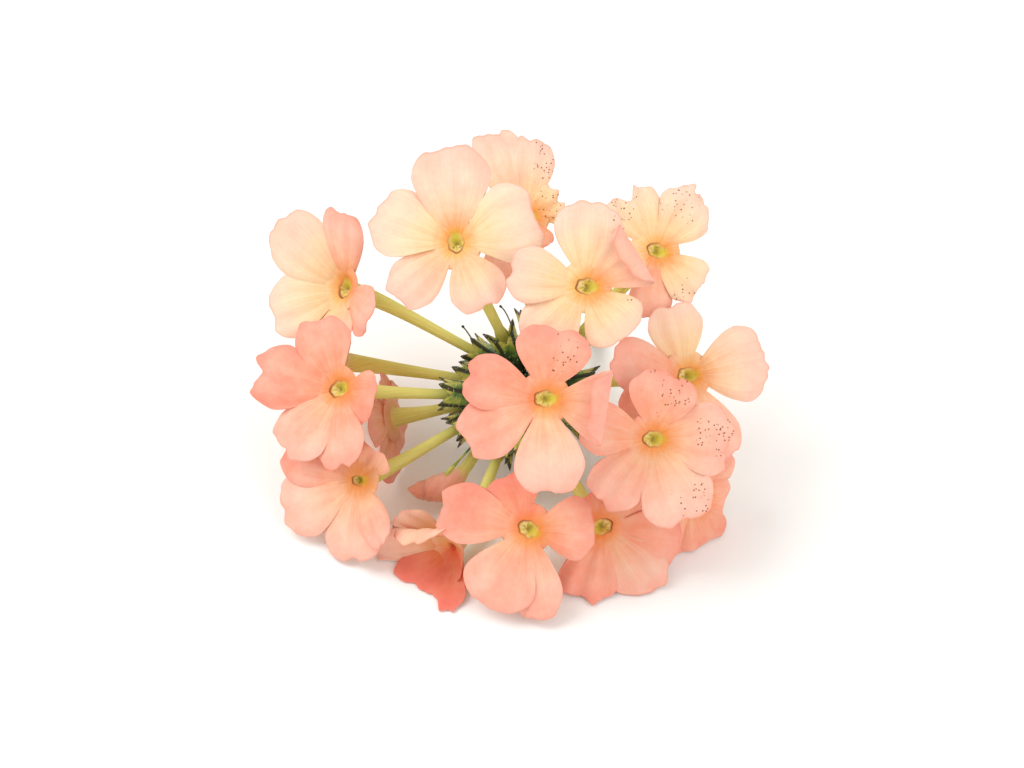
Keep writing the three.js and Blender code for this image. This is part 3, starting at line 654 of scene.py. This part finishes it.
def lobe_relief(s, t, along, ruffle, draw):
    """How far a lobe stands off its plane. It is the sum of (cup * t^2 + twist * t) * along; pleats of
    cos(3 pi t) * sin(pi * along^1.5); a crease up the middle; a wave of sin(7 * along) at the edges that
    grows as |t|^3; a wave of sin(t) at the tip that grows as along^4; edges that curl back as the square
    of how far they are past 0.72; and a root that is sunk in the limb by exp(-(along / 0.17)^2)."""
    cup = -0.35 + 0.45 * draw["cup"]
    twist = 0.35 + 0.25 * draw["twist"]
    pleat_depth = 0.13 + 0.2 * (ruffle - EVEN_RUFFLE)
    pleats = pleat_depth * np.cos(3 * np.pi * t + 3 * draw["pleats"]) * np.sin(np.pi * along**1.5)
    crease = -0.07 * np.exp(-((t / 0.12) ** 2)) * along
    edge_phase = 3 * draw["edge_wave"] + 2 * t
    edge_wave = (0.2 + 0.7 * ruffle) * np.abs(t) ** 3 * along * np.sin(7 * along + edge_phase)
    tip_wave = (0.1 + 0.6 * ruffle) * along**4 * np.sin((4 + 5 * ruffle) * t + 3 * draw["tip_wave"])
    past = np.clip(np.maximum(s, np.abs(t)) - CURL_FROM, 0, 1)
    curl = -6 * (0.35 + 0.25 * draw["curl"]) * past**2 * along
    sunk = -0.2 * np.exp(-((along / 0.17) ** 2))
    return (cup * t * t + twist * t) * along + pleats + crease + edge_wave + tip_wave + curl + sunk


def lobe_shell(floret, lobe):
    """One lobe as a blade round a grid: s runs from its root to its tip and t across it from -1 to 1, both
    with shorter steps at the edges. With along = s * outline, a point is the throat + the spine's way
    out and up + t * half width sideways + the relief upwards, where the half width grows from the
    root's as sin(90 degrees * along / 0.72)^1.15."""
    throat, facing, rise, bend, _, lobes, tints_and_shade = FLORETS[floret]
    clock, length, width, roll, lift = (*lobes[lobe], 0, 0)[:5]
    face = unit(np.array(facing, float))
    right, up = cross_pair(face)
    out = np.cos(np.radians(clock)) * right + np.sin(np.radians(clock)) * up
    side = np.cross(face, out)
    ruffle = RUFFLED.get((floret, lobe), EVEN_RUFFLE)
    draw = {trait: chance(floret, lobe, number) for trait, number in TRAITS.items()}
    s = np.sin(np.linspace(0.08, np.pi / 2, LOBE_ROWS))[:, None]
    t = np.sin(np.linspace(-np.pi / 2, np.pi / 2, LOBE_COLUMNS))[None, :]
    along = s * lobe_outline(t, (NOTCH, *CUT_IN.get((floret, lobe), ())), ruffle, draw)
    widened = np.sin(np.pi / 2 * np.clip(along / LOBE_WIDEST, 0, 1)) ** 1.15
    x, z = lobe_spine(along, length, rise + lift, bend, roll)
    y = t * (LOBE_ROOT_HALF + (width / 2 - LOBE_ROOT_HALF) * widened)
    z = z + lobe_relief(s, t, along, ruffle, draw)
    middle = RACHIS_MIDDLE + throat + x[..., None] * out + y[..., None] * side + z[..., None] * face
    edge = np.maximum(np.abs(t) * widened, s)
    points, faces = blade(lay_on_table(middle), LOBE_HALF_THICKNESS * (1 - 0.55 * edge**8))
    patch_along, patch_across, patch_reach = SPECKLED.get((floret, lobe), NO_PATCH)
    off_patch = np.hypot((along - patch_along) / patch_reach, (t - patch_across) / (1.4 * patch_reach))
    turn = np.radians(clock - GREEN_TOWARDS.get(floret, 0))
    towards_green = x * np.cos(turn) - y * np.sin(turn)
    aside = x * np.sin(turn) + y * np.cos(turn)
    return points, faces, {
        **PETAL_MARKS,
        "u": on_blade(0.5 + 0.5 * t + 1.7 * lobe, middle),
        "v": on_blade(along, middle),
        "reach": on_blade(np.hypot(x, y), middle),
        "edge": on_blade(edge**4, middle),
        "specks": on_blade(np.exp(-(off_patch**2)), middle),
        "warmth": tints_and_shade[lobe],
        "under": np.repeat([0.0, float(floret not in SAME_BOTH_SIDES)], along.size),
        "off_green": on_blade(off_green(towards_green, aside), middle),
    }


def throat_shell(floret):
    """The tube, the joined foot of the lobes and the throat as one skin of rings along the floret's line: up
    the tube, whose radius grows as share^2.2, and on over the rings of the limb and the funnel. Radius =
    the ring's * mouth * (1 - folded * fold). The mouth is 1 + 0.14 * cos(turn) + 0.14 * cos(2 * turn), and
    a small wobble, where turn starts at its green; it is pinched in some florets, and farther down it is
    moved off the middle. The folds are five uneven waves, deepest opposite the green. The limb climbs
    at the slope of the lobe that is nearest, weighed by exp(4 * cos(turn - clock angle))."""
    _, _, rise, _, _, lobes, tints_and_shade = FLORETS[floret]
    line = floret_lines[floret]
    turns = np.linspace(0, 2 * np.pi, THROAT_SIDES, endpoint=False)
    near = np.exp(4 * np.cos(turns[:, None] - np.radians([lobe[0] for lobe in lobes])))
    near /= near.sum(1, keepdims=True)
    climb = np.tan(np.radians(rise + near @ [(*lobe, 0, 0)[4] for lobe in lobes]))
    share = np.linspace(0, 1, TUBE_RINGS)
    wall = TUBE_ROOT_RADIUS + (TUBE_THROAT_RADIUS - TUBE_ROOT_RADIUS) * share**2.2
    tube = np.outer(wall, [1, 0, 0, 0, 0]) + [0, TUBE_PUSH, 0, 0, 0]
    radius, height, drawn_out, off_middle, folded = np.concatenate([tube, LIMB_RINGS]).T[..., None]
    ring = np.arange(len(radius))[:, None]
    on_limb = ring >= TUBE_RINGS
    in_front = ring >= TUBE_RINGS + UNDER_RINGS
    turned = turns - np.radians(GREEN_TOWARDS.get(floret, 0))
    wobble = 0.04 * np.cos(5 * turned + floret) + 0.03 * np.cos(7 * turned + 2 * floret)
    mouth = 1 + drawn_out * (0.14 * np.cos(turned) + 0.14 * np.cos(2 * turned) + wobble)
    mouth *= 1 + drawn_out * (PINCHED.get(floret, 1) - 1)
    mouth += off_middle * np.cos(turned + 0.5 * np.sin(floret))
    uneven = 5 * turned + 1.6 * np.sin(turned + floret) + 1.2 * np.sin(3 * turned + 2 * floret)
    fold = (0.5 + 0.5 * np.cos(uneven)) * (0.62 - 0.38 * np.cos(turned))
    radii = radius * mouth * (1 - folded * fold)
    pushes = height + on_limb * np.maximum(radius - LOBE_ROOT, 0) * climb + 0.3 * folded * fold
    distance = np.interp(ring, [0, TUBE_RINGS - 1], [TUBE_START, length_of(line)])
    shut = SHUT_REACH if PINCHED.get(floret, 1) < 0.5 else 0
    off = off_green(radii * np.cos(turned), radii * np.sin(turned))
    fading = np.interp(ring - TUBE_RINGS, [-3, -2, -1, 0, 1, 2], [1, 0.9, 0.6, 0.35, 0.1, 0])
    points, faces, marks = ringed(line, distance[:, 0], radii, pushes, **{
        **PETAL_MARKS,
        "u": turns / (2 * np.pi) * 3,
        "v": distance / 10,
        "reach": np.maximum(np.where(on_limb, radius, FAR), shut),
        "warmth": near @ tints_and_shade,
        "under": ~in_front,
        "tube": fading,
        "fold": fold,
        "off_green": off + FAR * ~in_front + 6 * shut,
        # The brown rim is partly painted shade, strongest on the side away from the green.
        "rim": 0.06 + 0.94 * (0.5 - 0.5 * np.cos(turned)) ** 1.3,
    })
    return lay_on_table(points), faces, marks


def petal_tissue():
    """Petal tissue: thin, soft and full of water, with a velvety skin of tiny cells. Light goes through it.
    Its colour runs from cream to coral, and lobes that lie in shade are painted warmer and deeper as
    painted shade. It is pinker at its edges and on its back, with an orange ring and fine veins round the
    yellow-green throat. Its tube is yellow green. The cells are drawn ten times as wide as they are, so
    that they show."""
    material, tree = fresh_material("soft_petal_tissue")
    mark = {name: add(tree, "Attribute", attribute_name=name).outputs["Fac"] for name in PETAL_MARKS}
    place = add(tree, "TexCoord").outputs["Object"]
    flat = add(tree, "UVMap", uv_map="UVMap").outputs["UV"]
    noise = {}
    for name, (size, layers) in PETAL_PATTERNS.items():
        sockets = {"Vector": place, "Scale": per_metre(size), "Detail": layers}
        noise[name] = add(tree, "TexNoise", sockets).outputs["Fac"]

    # The lobes run from cream to coral, uneven in patches and warmer outwards. Edges and backs are pinker.
    sockets = {0: noise["patches"], 1: 0.44, 2: -0.22}
    patched = add(tree, "Math", sockets, operation="MULTIPLY_ADD").outputs[0]
    outwards = add(tree, "MapRange", {0: mark["reach"], 1: 2, 2: 10, 3: -0.1, 4: 0.08}).outputs[0]
    uneven = add(tree, "Math", {0: patched, 1: outwards}, operation="ADD").outputs[0]
    # The warmth is partly each lobe's own colour and partly painted shade: lobes in shade carry warmer
    # tints.
    warmth = add(tree, "Math", {0: mark["warmth"], 1: 0.8, 2: uneven}, operation="MULTIPLY_ADD").outputs[0]
    cream_to_coral = add(tree, "ValToRGB", {"Fac": warmth}, [
        (0, "#feeed0"), (0.2, "#fee4cd"), (0.4, "#fed1ba"), (0.52, "#ffc1a7"), (0.64, "#fdae95"),
        (0.8, "#fc9683"), (1, "#fb8068"),
    ])
    pinker = add(tree, "ValToRGB", {"Fac": warmth}, [
        (0, "#fed8c8"), (0.4, "#fdc0b0"), (0.64, "#f8a696"), (0.8, "#f4988a"), (1, "#f6b09a"),
    ])
    blush = add(tree, "Math", {0: mark["edge"], 1: 0.5}, operation="MULTIPLY").outputs[0]
    sockets = {0: mark["under"], 1: 0.5, 2: blush}
    blushed = add(tree, "Math", sockets, operation="MULTIPLY_ADD", use_clamp=True).outputs[0]

    # An orange halo round the throat, in lines where the veins run, and amber round the green.
    veins = add(tree, "Mapping", {"Vector": flat, "Scale": (VEINS_ACROSS, 1, 1)}).outputs["Vector"]
    veined = {"Vector": veins, "Scale": 1, "Detail": 3, "Roughness": 0.6}
    vein = add(tree, "TexNoise", veined).outputs["Fac"]
    reach = add(tree, "MapRange", {0: mark["reach"], 1: 0, 2: 10}).outputs[0]
    ring = add(tree, "ValToRGB", {"Fac": reach}, [
        (0, "#000000"), (0.1, "#000000"), (0.11, "#ffffff"), (0.18, "#e8e8e8"), (0.26, "#c0c0c0"),
        (0.42, "#b0b0b0"), (0.6, "#808080"), (0.85, "#303030"), (1, "#000000"),
    ]).outputs["Color"]
    darker = add(tree, "MapRange", {0: vein, 1: 0.35, 2: 0.75, 3: 0, 4: 0.5}).outputs[0]
    lines = add(tree, "Math", {0: darker, 1: 0.72}, operation="ADD").outputs[0]
    halo = add(tree, "Math", {0: ring, 1: lines}, operation="MULTIPLY", use_clamp=True).outputs[0]
    # At the warmest tints the ring turns deep red: painted shade inside the cupped lobes of floret_10.
    orange = add(tree, "ValToRGB", {"Fac": warmth}, [
        (0, "#fcc868"), (0.25, "#fca955"), (0.5, "#fa864c"), (0.68, "#f87446"), (0.8, "#e64a34"),
    ])
    by_green = add(tree, "MapRange", {0: mark["off_green"], 1: 0.4, 2: 3.2, 3: 0.9, 4: 0}).outputs[0]
    amber = add(tree, "Math", {0: by_green, 1: lines}, operation="MULTIPLY", use_clamp=True).outputs[0]
    faint = add(tree, "MapRange", {0: vein, 1: 0.45, 2: 0.7, 3: 0, 4: 0.1}).outputs[0]
    colour = cream_to_coral.outputs["Color"]
    for share, layer in (
        (blushed, pinker.outputs["Color"]), (halo, orange.outputs["Color"]),
        (amber, linear("#f4983a")), (faint, linear("#ef9a6c")),
    ):
        colour = add(tree, "Mix", {0: share, 6: colour, 7: layer}, data_type="RGBA").outputs[2]
    mottled = add(tree, "MapRange", {0: noise["mottle"], 1: 0.3, 2: 0.7, 3: 0, 4: 0.2}).outputs[0]
    sockets = {0: mottled, 6: colour, 7: colour}
    colour = add(tree, "Mix", sockets, data_type="RGBA", blend_type="MULTIPLY").outputs[2]
    margin = add(tree, "MapRange", {0: mark["edge"], 1: 0.87, 2: 1, 3: 0, 4: 0.5}).outputs[0]

    # The mouth: pale yellow folds over an olive throat, a thin brown rim on one side, which is partly
    # painted shade on that side of the lip, and green on the other.
    throat = add(tree, "ValToRGB", {"Fac": reach}, [
        (0, "#8a7626"), (0.022, "#a89236"), (0.05, "#ccb648"), (0.08, "#e6ca62"), (0.115, "#efbf7c"),
    ]).outputs["Color"]
    on_fold = add(tree, "Math", {0: mark["fold"], 1: noise["grain"]}, operation="ADD").outputs[0]
    creamy = add(tree, "MapRange", {0: on_fold, 1: 0.85, 2: 1.25, 3: 0, 4: 0.8}).outputs[0]
    cracks = add(tree, "MapRange", {0: noise["grain"], 1: 0.42, 2: 0.3, 3: 0, 4: 0.6}).outputs[0]
    for share, layer in ((creamy, linear("#f4dd98")), (cracks, linear("#7a5a1c"))):
        throat = add(tree, "Mix", {0: share, 6: throat, 7: layer}, data_type="RGBA").outputs[2]
    in_throat = add(tree, "MapRange", {0: reach, 1: 0.112, 2: 0.12, 3: 1, 4: 0}).outputs[0]
    band = add(tree, "ValToRGB", {"Fac": reach}, [
        (0, "#000000"), (0.098, "#000000"), (0.112, "#ffffff"), (0.12, "#ffffff"), (0.133, "#000000"),
    ]).outputs["Color"]
    rimmed = add(tree, "Math", {0: band, 1: mark["rim"]}, operation="MULTIPLY").outputs[0]
    sockets = {0: noise["grain"], 1: 0.8, 2: mark["off_green"]}
    patchy = add(tree, "Math", sockets, operation="MULTIPLY_ADD").outputs[0]
    greened = add(tree, "MapRange", {0: patchy, 1: 0.35, 2: 1.3, 3: 0.8, 4: 0}).outputs[0]

    # The tube: yellow with fine lines along it, and greener towards its foot.
    tube_lines = add(tree, "ValToRGB", {"Fac": vein}, [(0.3, "#dedb66"), (0.7, "#f6f3a0")])
    up_tube = add(tree, "SeparateXYZ", {0: flat}).outputs["Y"]
    low = add(tree, "MapRange", {0: up_tube, 1: 1.2, 2: 0.7, 3: 0, 4: 0.6}).outputs[0]
    greener = add(tree, "Math", {0: low, 1: mark["tube"]}, operation="MULTIPLY").outputs[0]

    # Dark specks, scattered: small cells of a Voronoi pattern, of which noise leaves out a good half.
    dots = add(tree, "TexVoronoi", {"Vector": place, "Scale": per_metre(SPECK_SPACING)})
    off_dot = dots.outputs["Distance"]
    spot = add(tree, "MapRange", {0: off_dot, 1: 0.28, 2: 0.16, 3: 0, 4: 1}).outputs[0]
    sockets = {0: mark["specks"], 1: 0.4, 2: noise["strewn"]}
    thick = add(tree, "Math", sockets, operation="MULTIPLY_ADD").outputs[0]
    kept = add(tree, "MapRange", {0: thick, 1: 0.68, 2: 0.75, 3: 0, 4: 0.9}).outputs[0]
    dotted = add(tree, "Math", {0: mark["specks"], 1: 0.08}, operation="GREATER_THAN").outputs[0]
    speck = add(tree, "Math", {0: spot, 1: kept}, operation="MULTIPLY").outputs[0]
    speck = add(tree, "Math", {0: speck, 1: dotted}, operation="MULTIPLY").outputs[0]
    for share, layer in (
        (margin, linear("#f29a80")), (in_throat, throat), (rimmed, linear("#a0592a")),
        (greened, linear("#d8cc30")), (mark["tube"], tube_lines.outputs["Color"]),
        (greener, linear("#a5b548")), (speck, linear("#7e3a26")),
    ):
        colour = add(tree, "Mix", {0: share, 6: colour, 7: layer}, data_type="RGBA").outputs[2]

    sockets = {0: vein, 1: 0.35, 2: noise["cells"]}
    relief = add(tree, "Math", sockets, operation="MULTIPLY_ADD").outputs[0]
    bump = add(tree, "Bump", {"Height": relief, "Strength": 0.5, "Distance": PETAL_RELIEF * MM})
    surface = add(tree, "BsdfPrincipled", {
        "Base Color": colour, "Roughness": 0.55, "Normal": bump.outputs["Normal"], "IOR": 1.4,
        "Specular IOR Level": 0.3,
    })
    through = add(tree, "BsdfTranslucent", {"Color": colour, "Normal": bump.outputs["Normal"]})
    sockets = {0: 0.2, 1: surface.outputs["BSDF"], 2: through.outputs["BSDF"]}
    add(tree, "OutputMaterial", {"Surface": add(tree, "MixShader", sockets).outputs[0]})
    return material


petal = petal_tissue()
for floret in range(len(FLORETS)):
    shells = [throat_shell(floret)] + [lobe_shell(floret, lobe) for lobe in range(5)]
    piece(f"floret_{floret + 1:02d}", shells, petal, f"corolla_{floret + 1:02d}")

# --- The spent calyces ---
# Two calyces whose corolla has fallen: their teeth lean together, and the dry thread of the style, which
# is grown to the seed inside, stands out of each and ends in a pale knob.

SPENT_LENGTH = 6.0
SPENT_WIDTH = 0.62
SPENT_LEAN = 0.35
SPENT_FLOOR = 0.86
STYLE_RADIUS = 0.16
STYLE_SIDES = 10
# Each spent calyx: the end of its style from the rachis's middle, the way it faces and its seat.
SPENT = [
    ((-6.4, 7.4, 1.1), (-0.65, 0.75, 0.11), -4.4),
    ((-11.3, -13.8, -3), (-0.6, -0.77, -0.2), 4.6),
]


def style_shell(line):
    """The style as rings along the line, from the middle of its calyx: a thread that swells to 2.2 times
    its radius over its last fifth and ends in a rounded tip."""
    total = length_of(line)
    from_cup = np.linspace(0.5 * SPENT_LENGTH, 0.8 * total, 14)
    along = np.concatenate([from_cup, total * np.linspace(0.83, 1, 7)])
    swollen = np.interp(along / total, [0, 0.8, 0.86, 0.94, 0.99, 1], [1, 1, 1.6, 2.2, 1.6, 0.4])
    radii = np.broadcast_to(STYLE_RADIUS * swollen[:, None], (len(along), STYLE_SIDES))
    return ringed(line, along, radii, u=np.linspace(0, 1, STYLE_SIDES), v=along[:, None] / total, rib=0.3)


for number, (throat, facing, seat) in enumerate(SPENT, 1):
    line = floret_line(throat, facing, seat)
    cup = calyx_shell(line, SPENT_LENGTH, SPENT_WIDTH, SPENT_LEAN, SPENT_FLOOR)
    calyces.append(cup)
    piece(f"spent_{number:02d}", [cup, style_shell(line)], sepal, f"spent_calyx_{number:02d}")

# --- The bud ---
# A floret that has not opened: its lobes are rolled round each other into a pointed salmon club on the
# same slender tube, in a calyx like the others.

BUD_LENGTH = 8.5
BUD_SIDES = 60
# Its tip from the rachis's middle, the way it faces, its seat, and the share of its span that it arrives on.
BUD = ((-16.3, -12.1, -7.2), (-0.97, 0.22, 0.02), -3.6, 0.42)


def bud_shell(line):
    """The bud as rings along its line: the tube, and then the club. Radius = profile * (0.97 + 0.14 * wrap),
    where wrap is a saw wave round five turns that winds with the length, so each rolled lobe's edge
    lies over the next."""
    total = length_of(line)
    start = total - BUD_LENGTH
    knots = [TUBE_START, *(start + BUD_LENGTH * np.array([0, 0.28, 0.55, 0.85, 1]))]
    along = np.concatenate([np.linspace(TUBE_START, start, 8), np.linspace(start, total, 30)[1:]])
    profile = np.interp(along, knots, [0.66, 0.86, 1.6, 1.9, 1.15, 0.2])
    turns = np.linspace(0, 2 * np.pi, BUD_SIDES, endpoint=False)
    rolled = np.clip((along - start) / BUD_LENGTH, 0, 1)[:, None]
    wrap = ((turns * 5 / (2 * np.pi) + 2.2 * rolled) % 1 - 0.5) * np.sin(np.pi * rolled)
    radii = profile[:, None] * (0.97 + 0.14 * wrap)
    marks = {
        **PETAL_MARKS, "u": turns / (2 * np.pi), "v": along[:, None] / 10, "edge": np.clip(-2 * wrap, 0, 1),
        "warmth": 0.42 + 0.25 * rolled, "under": 0.1, "tube": np.clip(1 - 5 * rolled, 0, 1),
    }
    return ringed(line, along, radii, **marks)


bud_line = floret_line(*BUD)
bud_cup = calyx_shell(bud_line)
calyces.append(bud_cup)
piece("bud_cup", [bud_cup], sepal, "bud_calyx_01")
piece("bud", [bud_shell(bud_line)], petal, "bud_01")

# --- The hairs and the glands ---
# Short stiff hairs stand on every calyx and on the stem, and tiny round glands sit between those of the
# calyces; the glands' whitish beads also stand in for the glints of light along the calyces, as painted
# highlights. Both are grown from cells of the skin. A hair is a slender cone, a gland a bead of eight faces.

HAIR_LENGTH = 0.42
HAIR_RADIUS = 0.034
HAIR_SUNK = 0.02
HAIRS_ON_CALYX = 220
HAIRS_ON_STEM = 260
STEM_SEED = 99
GLANDS_AND_GLINTS_ON_CALYX = 60
GLAND_AND_GLINT_RADIUS = (0.04, 0.085)
GLAND_AND_GLINT_SEED = 50
OCTAHEDRON = [
    (0, 1, 2), (1, 3, 2), (3, 4, 2), (4, 0, 2), (1, 0, 5), (3, 1, 5), (4, 3, 5), (0, 4, 5),
]


def hairs_on(shell, count, seed):
    """Cones on a shell: count of its faces are drawn at random. Each hair starts at a face's middle and
    points along its normal, bent by a random share, and has three sides. One that would reach the
    table is left out."""
    points, faces, _ = shell
    draw = np.random.default_rng(seed)
    sign = 1 if shell_volume(points - points.mean(0), faces) > 0 else -1
    quads = points[faces[0][draw.choice(len(faces[0]), count, replace=False)]]
    foot = quads.mean(1)
    normal = sign * unit(np.cross(quads[:, 2] - quads[:, 0], quads[:, 3] - quads[:, 1]) + 1e-9)
    way = unit(normal + 0.5 * draw.normal(size=(count, 3)) * [1, 1, 0.6])
    first, second = cross_pair(way)
    tip = foot + HAIR_LENGTH * draw.uniform(0.6, 1.3, (count, 1)) * way
    corners = [
        foot + HAIR_RADIUS * (np.cos(turn) * first + np.sin(turn) * second) - HAIR_SUNK * way
        for turn in np.radians([0, 120, 240])
    ]
    clear = np.minimum(foot, tip)[:, 2] > 0.1
    made = np.stack([*corners, tip], 1)[clear].reshape(-1, 3)
    base = 4 * np.arange(clear.sum())[:, None]
    sides = np.concatenate([base + [0, 1, 3], base + [1, 2, 3], base + [2, 0, 3], base + [2, 1, 0]])
    return made, [sides], {"u": 0, "v": 0}


def glands_and_glints_on(shell, count, seed):
    """Beads on a shell, on the middles of faces that are drawn at random, each of a radius drawn too: the
    six ends of a cross and the eight faces between them."""
    points, faces, _ = shell
    draw = np.random.default_rng(seed)
    foot = points[faces[0][draw.choice(len(faces[0]), count, replace=False)]].mean(1)
    foot = foot[foot[:, 2] > 0.2]
    radius = draw.uniform(*GLAND_AND_GLINT_RADIUS, (len(foot), 1, 1))
    cross = np.concatenate([np.eye(3), -np.eye(3)])
    made = (foot[:, None] + radius * cross).reshape(-1, 3)
    sides = (6 * np.arange(len(foot))[:, None, None] + OCTAHEDRON).reshape(-1, 3)
    return made, [sides], {"u": 0, "v": 0}


def pale_hair_and_glints():
    """Plant hair: a dry hollow cell, nearly clear, that catches the light and looks whitish. The glands wear
    it too, so their beads show as painted glints.
    """
    material, tree = fresh_material("pale_hair_and_glints")
    surface = add(tree, "BsdfPrincipled", {
        "Base Color": linear("#eef0d2"), "Roughness": 0.45, "Subsurface Weight": 0.3,
        "Subsurface Scale": 0.2 * MM,
    })
    add(tree, "OutputMaterial", {"Surface": surface.outputs["BSDF"]})
    return material


hairs = [hairs_on(shell, HAIRS_ON_CALYX, seed) for seed, shell in enumerate(calyces)]
hairs.append(hairs_on(stalk_shell(), HAIRS_ON_STEM, STEM_SEED))
# The glands' whitish beads stand in for glints as well: painted highlights.
hairs += [glands_and_glints_on(shell, GLANDS_AND_GLINTS_ON_CALYX, seed + GLAND_AND_GLINT_SEED) for seed, shell in enumerate(calyces)]
piece("hairs", hairs, pale_hair_and_glints())

# --- The loose styles ---
# Two thread-thin styles that fallen florets left behind stand out between the calyces, which hold them by
# their feet. They are dark green tissue, and each ends in a knob.

THREAD_RADIUS = 0.09
THREAD_SIDES = 8
# The places that each thread runs through, as right of the rachis's middle, up in the view, and nearer.
THREADS = [
    [(-7.3, 5.4, 0), (-7.9, 6.5, 0.4), (-8.5, 7.5, 0.6), (-9.2, 8.3, 0.6)],
    [(-2.6, 8.4, 6.6), (-3.1, 9.6, 7.4), (-3.7, 10.4, 7.8), (-4.1, 10.7, 8)],
]


def thread_shell(places):
    """A thread as rings along the parabola that fits its places best. Its radius swells 2.2 times over the
    last tenth."""
    bent, straight, start = np.polyfit(np.linspace(0, 1, len(places)), np.array(places), 2)
    steps = np.linspace(0, 1, 60)[:, None]
    right_up_near = bent * steps**2 + straight * steps + start
    line = RACHIS_MIDDLE + right_up_near @ np.stack([[1, 0, 0], view_up, view_back])
    share = np.concatenate([np.linspace(0, 0.86, 12), np.linspace(0.88, 1, 7)])
    swollen = np.interp(share, [0, 0.86, 0.94, 0.98, 1], [1, 1, 2.2, 1.8, 0.4])
    radii = np.broadcast_to(THREAD_RADIUS * swollen[:, None], (len(share), THREAD_SIDES))
    return ringed(line, share * length_of(line), radii, u=0, v=0.3 + 0.2 * share[:, None], rib=0.6)


piece("style_threads", [thread_shell(places) for places in THREADS], sepal)
